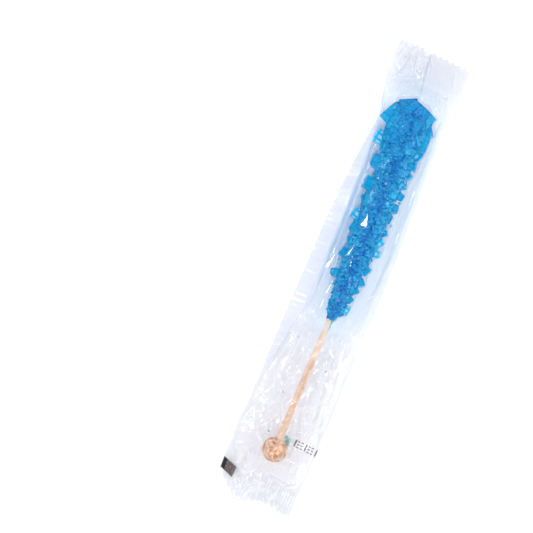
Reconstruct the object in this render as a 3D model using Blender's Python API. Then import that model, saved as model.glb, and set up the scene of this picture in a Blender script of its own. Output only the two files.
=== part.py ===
"""Rock candy stick sealed in a clear film pack, lying on its back: one closed solid out to the film.

The pack is a film tube round the candy, its wooden stick and the ball at the stick's end. Each end is
pressed flat into a seal with a saw-tooth edge, and the lengthwise seal stands out on the left as a fin.
+Y runs along the pack towards the candy's tip, +X to its right, and +Z up from the face it rests on.
The origin is under the middle of the pack, on that face.
"""

import math
from bisect import bisect_right

import bmesh
import bpy
from mathutils import Vector

MM = 0.001

# Driving dimensions, in millimetres.
PACK_LENGTH = 215.0
PACK_HALF_WIDTH = 19.9
SEAL_LENGTH = 13.5
SEAL_THICKNESS = 0.8
TOOTH_COUNT = 12
TOOTH_DEPTH = 1.3
BALL_DIAMETER = 11.1
BALL_PLACE = -80.8
CANDY_TIP = 84.7
CANDY_END = -19.0
FIN_THICKNESS = 0.6
FIN_LEAST_WIDTH = 0.5

# The rest face under the pack, as a share of the way from the ridge to each side edge.
REST_SHARE = 0.5
# How far the cut edge at each end runs off square, from the left corner to the right one.
TIP_END_SLOPE = 2.2
BALL_END_SLOPE = 12.4
SLOPE_REACH = 42.0

TIP_END = PACK_LENGTH / 2
BALL_END = -PACK_LENGTH / 2
TIP_SEAL_EDGE = TIP_END - SEAL_LENGTH
BALL_SEAL_EDGE = BALL_END + SEAL_LENGTH
BALL_TOP = BALL_DIAMETER + 0.6

# Curves along the pack: (place along Y, value) in millimetres.
RIGHT_EDGE = [
    (BALL_END, 17.6), (-60.0, 18.7), (-30.0, 19.0), (6.0, 19.5), (28.0, 19.0), (53.0, 18.0),
    (73.0, 17.4), (81.0, 17.3), (TIP_SEAL_EDGE, 19.5), (TIP_END, PACK_HALF_WIDTH),
]
LEFT_EDGE = [
    (BALL_END, FIN_LEAST_WIDTH - PACK_HALF_WIDTH), (-75.0, -18.8), (-52.0, -17.1), (-30.0, -12.7), (-9.0, -9.9),
    (53.0, -9.8), (73.0, -10.8), (TIP_SEAL_EDGE, -13.9), (TIP_END, -14.9),
]
FIN_EDGE = [
    (BALL_END, -PACK_HALF_WIDTH), (-56.0, -18.1), (-30.0, -17.6), (3.0, -16.7), (28.0, -15.7),
    (53.0, -13.5), (73.0, -11.0), (TIP_SEAL_EDGE, -13.9), (TIP_END, -14.9),
]
# The highest line of the film, over the candy, the stick and the ball.
RIDGE_HEIGHT = [
    (BALL_END, 1.6), (BALL_SEAL_EDGE, 4.0), (-88.0, 9.2), (BALL_PLACE, BALL_TOP), (-71.0, 9.8),
    (-55.0, 8.7), (-35.0, 9.4), (CANDY_END, 11.6), (-8.0, 14.2), (8.0, 16.2), (28.0, 18.0),
    (48.0, 19.8), (68.0, 21.2), (77.0, 20.2), (CANDY_TIP, 14.4), (TIP_SEAL_EDGE, 6.5), (TIP_END, 3.4),
]
RIDGE_PLACE = [(BALL_END, 0.4), (BALL_PLACE, 0.4), (CANDY_END, 2.6), (50.0, 3.6), (TIP_END, 2.8)]
# Height of the tube's side edges, and how pointed the film is over its contents.
EDGE_HEIGHT = [
    (BALL_END, 1.6), (BALL_SEAL_EDGE, 2.2), (-60.0, 2.0), (-20.0, 4.4), (30.0, 7.0), (68.0, 7.6),
    (TIP_SEAL_EDGE, 5.6), (TIP_END, 3.4),
]
POINTEDNESS = [
    (BALL_END, 1.0), (BALL_PLACE, 1.7), (-55.0, 1.5), (-30.0, 1.25), (0.0, 0.8), (60.0, 0.6), (TIP_END, 0.8),
]

# Stations along the pack: even steps in the seals, and a step of about this length between them.
SEAL_STEPS = 4
BODY_STEP = 3.6

# Soft lengthwise pleats where the tube gathers into a seal.
PLEAT_HEIGHT = 0.55
PLEAT_COUNT = 3.5
PLEAT_REACH = 16.0

FILM_COLOUR = (0.62, 0.76, 0.93, 1.0)
FILM_ROUGHNESS = 0.2


def smooth_step(value):
    """0 up to 0 and 1 from 1 on, with an even rise between."""
    value = min(max(value, 0.0), 1.0)
    return value * value * (3.0 - 2.0 * value)


def curve_at(points, place):
    """The height of a smooth curve through (place, value) points, with no overshoot between them."""
    places = [p[0] for p in points]
    if place <= places[0]:
        return points[0][1]
    if place >= places[-1]:
        return points[-1][1]
    slopes = [
        (after[1] - before[1]) / (after[0] - before[0]) for before, after in zip(points, points[1:])
    ]

    def tangent(i):
        if i == 0 or i == len(slopes) or slopes[i - 1] * slopes[i] <= 0.0:
            return 0.0
        return 2.0 * slopes[i - 1] * slopes[i] / (slopes[i - 1] + slopes[i])

    i = bisect_right(places, place) - 1
    span = places[i + 1] - places[i]
    u = (place - places[i]) / span
    rise = smooth_step(u)
    return (
        points[i][1] * (1.0 - rise)
        + points[i + 1][1] * rise
        + span * tangent(i) * u * (1.0 - u) ** 2
        - span * tangent(i + 1) * u * u * (1.0 - u)
    )


def saw_tooth(share):
    """Depth of the cut edge, from 0 to 1, at a share of the way across it."""
    phase = share * TOOTH_COUNT % 1.0
    return 1.0 - abs(2.0 * phase - 1.0)


def sealed(place):
    """1 in the flat seal at either end, 0 in the tube between, easing over the gathered film."""
    into_tip = (place - CANDY_TIP) / (TIP_SEAL_EDGE - CANDY_TIP)
    into_ball = (BALL_PLACE - BALL_DIAMETER / 2 - place) / (BALL_PLACE - BALL_DIAMETER / 2 - BALL_SEAL_EDGE)
    return smooth_step(max(into_tip, into_ball))


def pleat(place, across):
    """Height of the soft pleats beside the seals, at a share across from -1 to 1."""
    off_seal = min(TIP_SEAL_EDGE - place, place - BALL_SEAL_EDGE)
    fade = max(0.0, 1.0 - abs(off_seal - PLEAT_REACH / 3) / PLEAT_REACH)
    return PLEAT_HEIGHT * fade * math.sin(math.pi * PLEAT_COUNT * across) * (1.0 - across * across)


def across_from_ridge(place, across):
    """How far a share across the tube lies from its ridge, as a share of the way to its side edge."""
    left, right = curve_at(LEFT_EDGE, place), curve_at(RIGHT_EDGE, place)
    ridge = 2.0 * (curve_at(RIDGE_PLACE, place) - left) / (right - left) - 1.0
    return abs(across - ridge) / (1.0 - ridge if across > ridge else 1.0 + ridge)


def film_heights(place, across):
    """Heights of the front and the back film at a place along the pack and a share across it."""
    edge = curve_at(EDGE_HEIGHT, place)
    ridge = curve_at(RIDGE_HEIGHT, place)
    half = SEAL_THICKNESS / 2
    off = across_from_ridge(place, across)
    bell = (1.0 - off * off) ** curve_at(POINTEDNESS, place) if off < 1.0 else 0.0
    front = edge + half + (ridge - edge - half) * bell + pleat(place, across)
    back = (edge - half) * smooth_step((off - REST_SHARE) / (1.0 - REST_SHARE))
    curl = edge + 0.25 * (ridge - edge) * (1.0 - across * across)
    share = sealed(place)
    return front + share * (curl + half - front), back + share * (curl - half - back)


def squared_off(place, across):
    """Moves a place near an end so that the cut edge there runs at its slope, and gets its teeth."""
    ball_share = smooth_step(1.0 - (place - BALL_END) / SLOPE_REACH)
    tip_share = smooth_step(1.0 - (TIP_END - place) / SLOPE_REACH)
    moved = place + BALL_END_SLOPE * ball_share * (1.0 - across) / 2
    moved -= TIP_END_SLOPE * tip_share * (1.0 + across) / 2
    tooth = TOOTH_DEPTH * saw_tooth((1.0 + across) / 2)
    if place >= TIP_END:
        moved -= tooth
    if place <= BALL_END:
        moved += tooth
    return moved


def fin_tip(place):
    """X and height of the fin's free edge, at least a little outside the tube's left edge."""
    left = curve_at(LEFT_EDGE, place)
    x = min(curve_at(FIN_EDGE, place), left - FIN_LEAST_WIDTH)
    droop = 0.35 * (left - x - FIN_LEAST_WIDTH)
    return x, max(curve_at(EDGE_HEIGHT, place) - droop, FIN_THICKNESS)


def ring(place):
    """The closed section of the pack at one station, as points from the right edge over the front."""
    shares = [1.0 - i / TOOTH_COUNT for i in range(2 * TOOTH_COUNT + 1)]
    left, right = curve_at(LEFT_EDGE, place), curve_at(RIGHT_EDGE, place)
    front, back = [], []
    for across in shares:
        x = left + (right - left) * (across + 1.0) / 2
        y = squared_off(place, across)
        high, low = film_heights(place, across)
        front.append(Vector((x, y, high)))
        back.append(Vector((x, y, max(low, 0.0))))
    fin_x, fin_z = fin_tip(place)
    fin_y = squared_off(place, -1.0)
    fin = [Vector((fin_x, fin_y, fin_z + side * FIN_THICKNESS / 2)) for side in (1.0, -1.0)]
    return front, fin, back[::-1]


def stations():
    """Places along the pack, closer together in the seals."""
    seal = [BALL_END + SEAL_LENGTH * i / SEAL_STEPS for i in range(SEAL_STEPS)]
    count = math.ceil((TIP_SEAL_EDGE - BALL_SEAL_EDGE) / BODY_STEP)
    body = [BALL_SEAL_EDGE + (TIP_SEAL_EDGE - BALL_SEAL_EDGE) * i / count for i in range(count + 1)]
    return seal + body + [-place for place in reversed(seal)]


def close_end(bm, loop, columns, outward):
    """Shuts one end of the pack with a strip of faces between its front and its back edge."""
    front = loop[:columns]
    back = loop[columns + 2:][::-1]
    faces = [(front[i], front[i + 1], back[i + 1], back[i]) for i in range(columns - 1)]
    faces.append((front[-1], loop[columns], loop[columns + 1], back[-1]))
    for face in faces:
        bm.faces.new(face if outward else face[::-1])


def film_material():
    """Clear film, as one plain colour."""
    material = bpy.data.materials.new("clear_film")
    material.use_nodes = True
    shader = material.node_tree.nodes["Principled BSDF"]
    shader.inputs["Base Color"].default_value = FILM_COLOUR
    shader.inputs["Roughness"].default_value = FILM_ROUGHNESS
    shader.inputs["Metallic"].default_value = 0.0
    return material


def sealed_pack():
    """The whole pack as one closed solid, lofted through its sections."""
    bm = bmesh.new()
    loops = []
    for place in stations():
        front, fin, back = ring(place)
        loops.append([bm.verts.new(point * MM) for point in front + fin + back])
    for before, after in zip(loops, loops[1:]):
        count = len(before)
        for i in range(count):
            j = (i + 1) % count
            bm.faces.new((before[i], before[j], after[j], after[i]))
    columns = 2 * TOOTH_COUNT + 1
    close_end(bm, loops[0], columns, False)
    close_end(bm, loops[-1], columns, True)
    bmesh.ops.recalc_face_normals(bm, faces=bm.faces)
    mesh = bpy.data.meshes.new("sealed_pack")
    bm.to_mesh(mesh)
    bm.free()
    mesh.shade_smooth()
    mesh.set_sharp_from_angle(angle=math.radians(40.0))
    mesh.materials.append(film_material())
    pack = bpy.data.objects.new("sealed_pack", mesh)
    bpy.context.scene.collection.objects.link(pack)
    return pack


def main():
    """Clears the scene and builds the pack."""
    for old in list(bpy.data.objects):
        bpy.data.objects.remove(old)
    sealed_pack()


main()
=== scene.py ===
"""Rock candy stick in its sealed film pack: film, seals, print, stick, ball and sugar crystals."""

import functools
import math

import bpy
import numpy as np
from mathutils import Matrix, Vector
from mathutils.geometry import delaunay_2d_cdt


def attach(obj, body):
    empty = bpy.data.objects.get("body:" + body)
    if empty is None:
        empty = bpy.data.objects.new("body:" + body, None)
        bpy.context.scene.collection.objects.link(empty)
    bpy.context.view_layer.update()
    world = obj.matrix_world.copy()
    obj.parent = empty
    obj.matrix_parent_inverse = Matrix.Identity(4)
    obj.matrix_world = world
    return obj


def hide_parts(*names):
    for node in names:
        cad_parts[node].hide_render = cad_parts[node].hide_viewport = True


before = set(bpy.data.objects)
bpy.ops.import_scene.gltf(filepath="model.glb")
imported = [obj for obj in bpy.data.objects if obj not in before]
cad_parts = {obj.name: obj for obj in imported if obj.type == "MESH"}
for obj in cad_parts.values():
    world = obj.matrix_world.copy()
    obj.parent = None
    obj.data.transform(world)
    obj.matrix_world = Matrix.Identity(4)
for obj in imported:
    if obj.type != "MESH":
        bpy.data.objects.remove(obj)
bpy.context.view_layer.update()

bl_info = {
    "name": "Wrapped rock candy stick",
    "version": (1, 0, 0),
    "blender": (4, 5, 0),
    "location": "3D View > Sidebar > Candy",
    "description": "Builds a ball-ended rock candy stick in its clear film pack",
    "category": "Add Mesh",
}

PACK = "sealed_pack"
MM = 0.001
PRINT_LIFT = 0.05
DYE = (0.04, 0.44, 0.40, 1.0)

# The stage, in metres: each soft box's place, size and power, and the camera's height. In millimetres, the
# point of the pack that the view is set from, and how far it lies right of and over the picture's middle.
SOFT_BOXES = {
    "left_box": ((-0.75, 0.05, 0.7), (0.12, 0.4), 2.0), "right_box": ((0.8, 0.1, 0.6), (0.12, 0.4), 1.8),
    "head_box": ((0.05, 0.85, 0.65), (0.5, 0.12), 0.5), "foot_box": ((-0.1, -0.8, 0.75), (0.5, 0.12), 1.0),
}
LEAN = math.radians(21.43)
CAMERA_HEIGHT = 0.788
VIEW_POINT = (0.0, 1.43)
VIEW_ASIDE = (33.4, -3.95)

# The pack's own curves, as (place along Y, value) in millimetres. They are
# its solid's, but at the tip's left corner, where the film stands out a little more.
TIP_END = 107.5
BALL_END = -107.5
SEAL_LENGTH = 13.5
TIP_SEAL_EDGE = TIP_END - SEAL_LENGTH
BALL_SEAL_EDGE = BALL_END + SEAL_LENGTH
TOOTH_COUNT = 12
BALL_PLACE = -80.8
BALL_RADIUS = 5.55
BALL_HEIGHT = 5.9
CANDY_TIP = 84.7
SUGAR_TIP = 83.0
CANDY_END = -19.0
RIGHT_EDGE = [
    (BALL_END, 17.6), (-60.0, 18.7), (-30.0, 19.0), (6.0, 19.5), (28.0, 19.0), (53.0, 18.0),
    (73.0, 17.4), (81.0, 17.3), (TIP_SEAL_EDGE, 19.5), (TIP_END, 19.9),
]
LEFT_EDGE = [
    (BALL_END, -19.4), (-75.0, -18.8), (-52.0, -17.1), (-30.0, -12.7), (-9.0, -9.9),
    (53.0, -9.8), (73.0, -10.9), (79.0, -12.0), (87.0, -13.6), (TIP_SEAL_EDGE, -14.6), (100.0, -15.4),
    (TIP_END, -14.6),
]
FIN_EDGE = [
    (BALL_END, -19.9), (-56.0, -18.1), (-30.0, -17.6), (3.0, -16.7), (28.0, -15.7),
    (53.0, -13.5), (73.0, -11.1), (TIP_SEAL_EDGE, -14.6), (TIP_END, -14.9),
]
RIDGE_HEIGHT = [
    (BALL_END, 1.6), (BALL_SEAL_EDGE, 4.0), (-88.0, 9.2), (BALL_PLACE, 11.7), (-71.0, 9.8),
    (-55.0, 8.7), (-35.0, 9.4), (CANDY_END, 11.6), (-8.0, 14.2), (8.0, 16.2), (28.0, 18.0),
    (48.0, 19.8), (68.0, 21.2), (77.0, 20.2), (CANDY_TIP, 14.4), (TIP_SEAL_EDGE, 6.5), (TIP_END, 3.4),
]
RIDGE_PLACE = [(BALL_END, 0.4), (BALL_PLACE, 0.4), (CANDY_END, 2.6), (50.0, 3.6), (TIP_END, 2.8)]
EDGE_HEIGHT = [
    (BALL_END, 1.6), (BALL_SEAL_EDGE, 2.2), (-60.0, 2.0), (-20.0, 4.4), (30.0, 7.0), (68.0, 7.6),
    (TIP_SEAL_EDGE, 5.6), (TIP_END, 3.4),
]
POINTEDNESS = [
    (BALL_END, 1.0), (BALL_PLACE, 1.7), (-55.0, 1.5), (-30.0, 1.25), (0.0, 0.8), (60.0, 0.6), (TIP_END, 0.8),
]

# The sugar's outline in the flat, and the height of its axis over the floor.
CANDY_LEFT = [
    (-19.0, 0.4), (-17.0, -0.4), (-12.0, -1.5), (-6.0, -2.0), (1.0, -2.8), (13.0, -3.4), (20.0, -3.4), (28.0, -4.7),
    (42.0, -4.3), (57.0, -5.0), (66.0, -6.6), (74.0, -8.4), (80.0, -6.0), (82.6, -2.4), (84.7, 1.4),
]
CANDY_RIGHT = [
    (-19.0, 3.6), (-17.0, 4.6), (-15.0, 6.2), (-12.0, 7.0), (-5.0, 7.2), (2.0, 8.7), (13.0, 9.7), (28.0, 10.8),
    (42.0, 10.6), (58.0, 12.0), (72.0, 13.6), (79.0, 12.2), (82.4, 7.6), (84.7, 3.4),
]
CANDY_AXIS_HEIGHT = [(-84.0, 5.9), (-19.0, 7.9), (20.0, 9.2), (75.0, 10.9), (86.0, 10.9)]
CRYSTAL_SIZE = [
    (-19.0, 1.3), (-12.0, 1.55), (0.0, 1.65), (20.0, 1.8), (50.0, 2.0), (66.0, 2.6), (78.0, 3.8), (86.0, 4.2),
]


def smooth_step(value):
    """0 up to 0 and 1 from 1 on, with an even rise between."""
    value = np.clip(value, 0.0, 1.0)
    return value * value * (3.0 - 2.0 * value)


def curve(points, place):
    """A smooth curve through (place, value) points: between two points the cubic whose slope at each is the
    harmonic mean of the chords beside it, or level where they turn, and level outside the points."""
    x, v = np.array(points).T
    step = np.diff(x)
    chord = np.diff(v) / step
    slope = np.zeros(len(x))
    same = chord[:-1] * chord[1:] > 0.0
    slope[1:-1][same] = (2.0 * chord[:-1] * chord[1:])[same] / (chord[:-1] + chord[1:])[same]
    i = np.clip(np.searchsorted(x, place, side="right") - 1, 0, len(x) - 2)
    u = np.clip((place - x[i]) / step[i], 0.0, 1.0)
    rise = smooth_step(u)
    ease = step[i] * u * (1.0 - u)
    return v[i] * (1.0 - rise) + v[i + 1] * rise + ease * (slope[i] * (1.0 - u) - slope[i + 1] * u)


def grid_quads(rows, columns, closed=False):
    """The quads of a grid of points, row after row; closed joins the last column to the first."""
    i, j = np.meshgrid(np.arange(rows - 1), np.arange(columns - (not closed)), indexing="ij")
    k = (j + 1) % columns
    return np.stack([i * columns + j, i * columns + k, (i + 1) * columns + k, (i + 1) * columns + j], -1).reshape(-1, 4)


def new_piece(name, points, faces, material, smooth=True, uv=None, values=None, facets=None):
    """A mesh piece from points in millimetres and a list of face arrays. It rides on the one body and stands
    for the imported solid. uv holds a pair for each point or for each corner of each face, values named numbers
    for each point, and facets named numbers for each face."""
    mesh = bpy.data.meshes.new(name)
    mesh.from_pydata(points.reshape(-1, 3) * MM, [], [face for group in faces for face in group.tolist()])
    mesh.update()
    if uv is not None:
        corners = np.empty(len(mesh.loops), int)
        mesh.loops.foreach_get("vertex_index", corners)
        pairs = uv.reshape(-1, 2)
        pairs = pairs if len(pairs) == len(corners) else pairs[corners]
        mesh.uv_layers.new(name="UVMap").data.foreach_set("uv", pairs.ravel())
    for domain, named in (("POINT", values), ("FACE", facets)):
        for label, numbers in (named or {}).items():
            mesh.attributes.new(label, "FLOAT", domain).data.foreach_set("value", numbers.ravel().astype(np.float32))
    if smooth:
        mesh.shade_smooth()
    mesh.materials.append(material)
    piece = bpy.data.objects.new(name, mesh)
    bpy.context.scene.collection.objects.link(piece)
    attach(piece, "root")
    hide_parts(PACK)
    return piece


def creased(seed, rows, columns, step_along, step_across):
    """Relief of creased film on a grid of places: heights from -1 to 1 at jittered points, joined by flat
    triangles, each value being the heights of a triangle's corners weighted by its barycentric shares."""
    rng = np.random.default_rng(seed)
    place, side = np.meshgrid(
        np.arange(rows[0] - 2 * step_along, rows[-1] + 3 * step_along, step_along),
        np.arange(columns[0] - 2 * step_across, columns[-1] + 3 * step_across, step_across), indexing="ij")
    place = place + step_along * rng.uniform(-0.48, 0.48, place.shape)
    side = side + step_across * rng.uniform(-0.48, 0.48, side.shape)
    flat = np.stack([place.ravel() / step_along, side.ravel() / step_across], 1)
    height = rng.uniform(-1.0, 1.0, len(flat))
    corners, _, triangles, origin, _, _ = delaunay_2d_cdt([Vector(p) for p in flat], [], [], 0, 1e-7)
    corners = np.array([tuple(c) for c in corners])
    height = height[[o[0] for o in origin]]
    u, v = rows / step_along, columns / step_across
    relief = np.zeros((len(u), len(v)))
    for triangle in triangles:
        a, b, c = corners[triangle]
        low, high = np.min([a, b, c], 0), np.max([a, b, c], 0)
        i0, i1 = np.searchsorted(u, [low[0], high[0]])
        j0, j1 = np.searchsorted(v, [low[1], high[1]])
        if i0 == i1 or j0 == j1:
            continue
        area = (b[0] - a[0]) * (c[1] - a[1]) - (b[1] - a[1]) * (c[0] - a[0])
        du, dv = u[i0:i1, None] - a[0], v[None, j0:j1] - a[1]
        share_b = (du * (c[1] - a[1]) - dv * (c[0] - a[0])) / area
        share_c = (dv * (b[0] - a[0]) - du * (b[1] - a[1])) / area
        inside = (share_b >= -1e-9) & (share_c >= -1e-9) & (share_b + share_c <= 1.0 + 1e-9)
        ha, hb, hc = height[triangle]
        patch = relief[i0:i1, j0:j1]
        patch[inside] = (ha + share_b * (hb - ha) + share_c * (hc - ha))[inside]
    return relief


def max_around(values, reach):
    """Each value's highest neighbour within reach steps along both ways of the grid."""
    for axis in (0, 1):
        padded = np.pad(values, [(reach, reach) if a == axis else (0, 0) for a in (0, 1)], mode="edge")
        count = values.shape[axis]
        values = np.max([padded.take(range(k, k + count), axis) for k in range(2 * reach + 1)], 0)
    return values


# ---------------------------------------------------------------- sugar


def candy_outline(place):
    """Middle, half width, axis height and half height of the sugar at places along Y."""
    left, right = curve(CANDY_LEFT, place), curve(CANDY_RIGHT, place)
    wide = (right - left) / 2
    height = curve(CANDY_AXIS_HEIGHT, place)
    return (left + right) / 2, wide, height, np.minimum(0.98 * wide, height - 0.4)


def crystal_points(rng, half, roof=(0.5, 0.95), cut=(0.04, 0.55)):
    """Corners of many crystals round their own centres: a rectangle with its four corners cut, carried over
    four stations. The two end stations are smaller, as the wedge ends of a sugar crystal, and set aslant."""
    n = len(half)
    a, b, h = half.T[:, :, None]
    c = np.minimum(a, b) * rng.uniform(cut[0], cut[1], (n, 4)) ** 1.5
    x = np.concatenate([a, a - c[:, :1], c[:, 1:2] - a, -a, -a, c[:, 2:3] - a, a - c[:, 3:], a], 1)
    y = np.concatenate([b - c[:, :1], b, b, b - c[:, 1:2], c[:, 2:3] - b, -b, -b, c[:, 3:] - b], 1)
    x = np.broadcast_to(x, (n, 8))
    y = np.broadcast_to(y, (n, 8))
    shrink_x = np.ones((n, 4))
    shrink_y = np.ones((n, 4))
    shrink_x[:, [0, 3]] = rng.uniform(roof[0], roof[1], (n, 2))
    shrink_y[:, [0, 3]] = rng.uniform(0.75, 0.97, (n, 2))
    level = np.stack([-np.ones(n), rng.uniform(-0.8, -0.4, n), rng.uniform(0.4, 0.8, n), np.ones(n)], 1)
    slant = rng.uniform(-0.35, 0.35, (n, 4, 2))
    px = x[:, None] * shrink_x[:, :, None]
    py = y[:, None] * shrink_y[:, :, None]
    pz = h[:, :, None] * level[:, :, None] + slant[:, :, :1] * px * 0.6 + slant[:, :, 1:] * py * 0.6
    return np.stack([px, py, pz], -1).reshape(n, 32, 3)


def crystal_faces(count):
    """Faces of that many crystals: three bands of eight quads and the two ends."""
    j = np.arange(8)
    k = (j + 1) % 8
    sides = np.concatenate([np.stack([s * 8 + j, s * 8 + k, s * 8 + 8 + k, s * 8 + 8 + j], 1) for s in range(3)])
    ends = np.array([j[::-1], 24 + j])
    start = 32 * np.arange(count)[:, None, None]
    return [(start + sides).reshape(-1, 4), (start + ends).reshape(-1, 8)]


def crystal_map(count):
    """A map of the facets of that many crystals: a side fills the unit square, and an end is an octagon with
    four sides on the square's own."""
    angle = (np.arange(8) + 0.5) * math.pi / 4
    octagon = 0.5 + 0.5 / math.cos(math.pi / 8) * np.stack([np.cos(angle), np.sin(angle)], 1)
    square = np.array([(0.0, 0.0), (1.0, 0.0), (1.0, 1.0), (0.0, 1.0)])
    return np.concatenate([np.tile(square, (24 * count, 1)), np.tile(octagon, (2 * count, 1))])


def turned(points, long_axis, roll):
    """The points with their own Z laid along long_axis and rolled about it: a frame of three unit vectors,
    the second and third square to the axis, taken as the crystal's X and Y."""
    w = long_axis / np.linalg.norm(long_axis, axis=1, keepdims=True)
    helper = np.where(np.abs(w[:, 2:3]) < 0.9, [[0.0, 0.0, 1.0]], [[1.0, 0.0, 0.0]])
    u = np.cross(helper, w)
    u /= np.linalg.norm(u, axis=1, keepdims=True)
    v = np.cross(w, u)
    c, s = np.cos(roll)[:, None], np.sin(roll)[:, None]
    frame_of = np.stack([u * c + v * s, v * c - u * s, w], 1)
    return np.einsum("nij,njk->nik", points, frame_of)


def seeded_places(rng, scale, spacing):
    """Places along the sugar and angles round it for crystals of about scale times the size curve: rings a
    step apart, and in each ring as many as its girth takes, each with some play."""
    places, angles = [], []
    place = CANDY_END + 0.4
    while place < CANDY_TIP - 0.3:
        size = scale * float(curve(CRYSTAL_SIZE, place))
        wide = float(candy_outline(place)[1])
        count = max(3, round(2.0 * math.pi * wide / (spacing * size)))
        turn = rng.uniform(0.0, 2.0 * math.pi)
        angles.append(turn + 2.0 * math.pi * (np.arange(count) + rng.uniform(-0.4, 0.4, count)) / count)
        places.append(place + rng.uniform(-0.45, 0.45, count) * spacing * size)
        place += spacing * size * 0.85
    return np.clip(np.concatenate(places), CANDY_END, CANDY_TIP), np.concatenate(angles)


def crust(seed, scale, spacing, reach, longer):
    """Crystals all round the sugar, each pushed out until its furthest corner reaches a share of the outline:
    at angle t the outline is the ellipse radius 1 / sqrt((cos t / wide)^2 + (sin t / tall)^2). It swells and
    shrinks by up to 0.07 in lumps, as sin(a y + 2 t) sin(b y - t), and stays a seventh lower at the head, so
    that the large crystals show there."""
    rng = np.random.default_rng(seed)
    place, angle = seeded_places(rng, scale, spacing)
    n = len(place)
    size = scale * curve(CRYSTAL_SIZE, place)
    half = size[:, None] * rng.uniform([0.62, 0.55, longer[0]], [1.05, 0.95, longer[1]], (n, 3))
    out = np.stack([np.cos(angle), np.zeros(n), np.sin(angle)], 1)
    points = turned(crystal_points(rng, half), out * 0.7 + rng.normal(0.0, 0.6, (n, 3)), rng.uniform(0, 6.3, n))
    middle, wide, height, tall = candy_outline(place)
    radius = 1.0 / np.sqrt((np.cos(angle) / wide) ** 2 + (np.sin(angle) / tall) ** 2)
    furthest = np.einsum("nij,nj->ni", points, out).max(1)
    lumps = np.sin(0.55 * place + 2.0 * angle) * np.sin(0.9 * place - angle + 1.0)
    drawn_in = 1.0 + 0.07 * lumps - 0.14 * smooth_step((place - 66.0) / 8.0)
    distance = np.maximum(radius * drawn_in * rng.uniform(reach[0], reach[1], n) - furthest, 0.0)
    centre = np.stack([middle, place, height], 1) + out * distance[:, None]
    points = points + centre[:, None]
    points[:, :, 1] -= np.maximum(points[:, :, 1].max(1) - SUGAR_TIP, 0.0)[:, None]
    points[:, :, 1] += np.maximum(CANDY_END - 0.5 - points[:, :, 1].min(1), 0.0)[:, None]
    points[:, :, 2] += np.maximum(0.35 - points[:, :, 2].min(1), 0.0)[:, None]
    return points, rng.uniform(0.0, 1.0, n)


# Larger crystals, of the head and of the outline: place X and Y, rise over the axis, turn from +Y towards +X
# in degrees, and half length, half width and half depth, all in millimetres.
HEAD_CRYSTALS = [
    (-5.45, 75.5, 0.5, 27.4, 4.8, 3.3, 3.2),
    (-0.2, 78.4, 1.2, 63.8, 4.0, 4.7, 5.0),
    (4.7, 77.6, 1.6, 111.5, 6.3, 4.7, 5.0),
    (8.8, 75.4, 0.4, 0.0, 4.5, 3.1, 3.6),
    (10.4, 73.5, 0.2, -33.4, 3.5, 2.9, 3.2),
    (10.3, 66.7, 0.6, 2.0, 4.2, 3.3, 3.4),
    (3.4, 72.4, 3.6, 20.0, 5.0, 4.4, 4.4),
    (-2.4, 72.4, 2.2, 10.0, 4.6, 3.6, 4.6),
    (-3.0, 67.2, 0.8, -4.0, 3.8, 3.4, 3.4),
    (-0.6, 66.6, 3.6, -18.0, 4.4, 3.6, 4.2),
    (6.0, 66.4, 3.4, 55.0, 4.0, 3.6, 4.2),
    (2.6, 60.6, 4.2, 80.0, 3.2, 2.8, 3.4),
]
STANDING_CRYSTALS = [
    (11.0, 62.6, 0.0, 20.0, 2.6, 2.2, 2.2),
    (10.7, 57.0, 0.4, -12.0, 2.4, 2.1, 2.0),
    (-4.4, 53.4, 0.3, 8.0, 2.9, 2.4, 2.4),
    (10.3, 52.2, 0.0, 32.0, 2.0, 1.9, 2.0),
    (9.7, 47.6, 0.5, -15.0, 2.2, 1.9, 1.9),
    (-4.0, 43.2, 0.6, 4.0, 3.1, 2.4, 2.4),
    (10.7, 42.4, 0.3, 15.0, 1.6, 1.5, 1.4),
    (-3.3, 36.8, 0.0, 50.0, 1.9, 1.7, 1.6),
    (9.7, 36.6, 0.2, 75.0, 2.4, 1.8, 1.9),
    (9.4, 31.6, 0.0, 8.0, 1.9, 1.7, 1.6),
    (9.2, 24.6, 0.0, 64.0, 2.5, 1.5, 1.6),
    (-2.9, 22.8, 0.2, 15.0, 2.2, 1.9, 1.8),
    (-2.2, 17.0, 0.0, -30.0, 1.8, 1.6, 1.5),
    (-3.3, 11.2, 0.0, 20.0, 2.0, 1.7, 1.6),
    (8.0, 11.6, 0.0, 18.0, 1.6, 1.4, 1.4),
    (8.6, 7.0, 0.2, 24.0, 2.1, 1.7, 1.7),
    (-3.3, 1.6, 0.0, 80.0, 2.2, 1.7, 1.6),
    (8.1, 1.0, 0.0, 60.0, 2.1, 1.7, 1.6),
    (-1.4, -2.6, 0.0, 12.0, 1.5, 1.2, 1.2),
    (7.3, -3.2, 0.0, 50.0, 1.7, 1.5, 1.3),
    (6.8, -7.4, 0.0, 32.0, 1.5, 1.2, 1.2),
    (-1.1, -6.6, 0.0, 20.0, 1.1, 0.9, 1.0),
    (-0.9, -11.0, 0.0, -15.0, 1.1, 0.9, 1.0),
    (-0.3, -14.6, 0.0, 35.0, 0.9, 0.8, 0.9),
    (5.3, -14.4, 0.2, 60.0, 1.4, 1.2, 1.2),
]
# Crystals that stand clear of the rest and are looked through, written in the same way.
WINDOW_CRYSTALS = [
    (-6.0, 77.4, 2.9, 25.0, 2.2, 0.8, 1.0),
    (-7.0, 63.8, -0.6, 12.0, 3.2, 2.4, 1.9),
    (-4.4, 29.0, 0.6, 20.0, 2.3, 1.9, 1.8),
    (9.6, 19.6, 0.3, 34.0, 2.9, 1.3, 1.8),
    (9.8, 15.4, 0.3, 82.0, 2.3, 1.6, 1.7),
    (9.9, 57.2, 0.4, 20.0, 1.5, 1.2, 1.2),
    (7.2, -12.2, 0.2, 10.0, 2.2, 1.1, 1.4),
]
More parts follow.
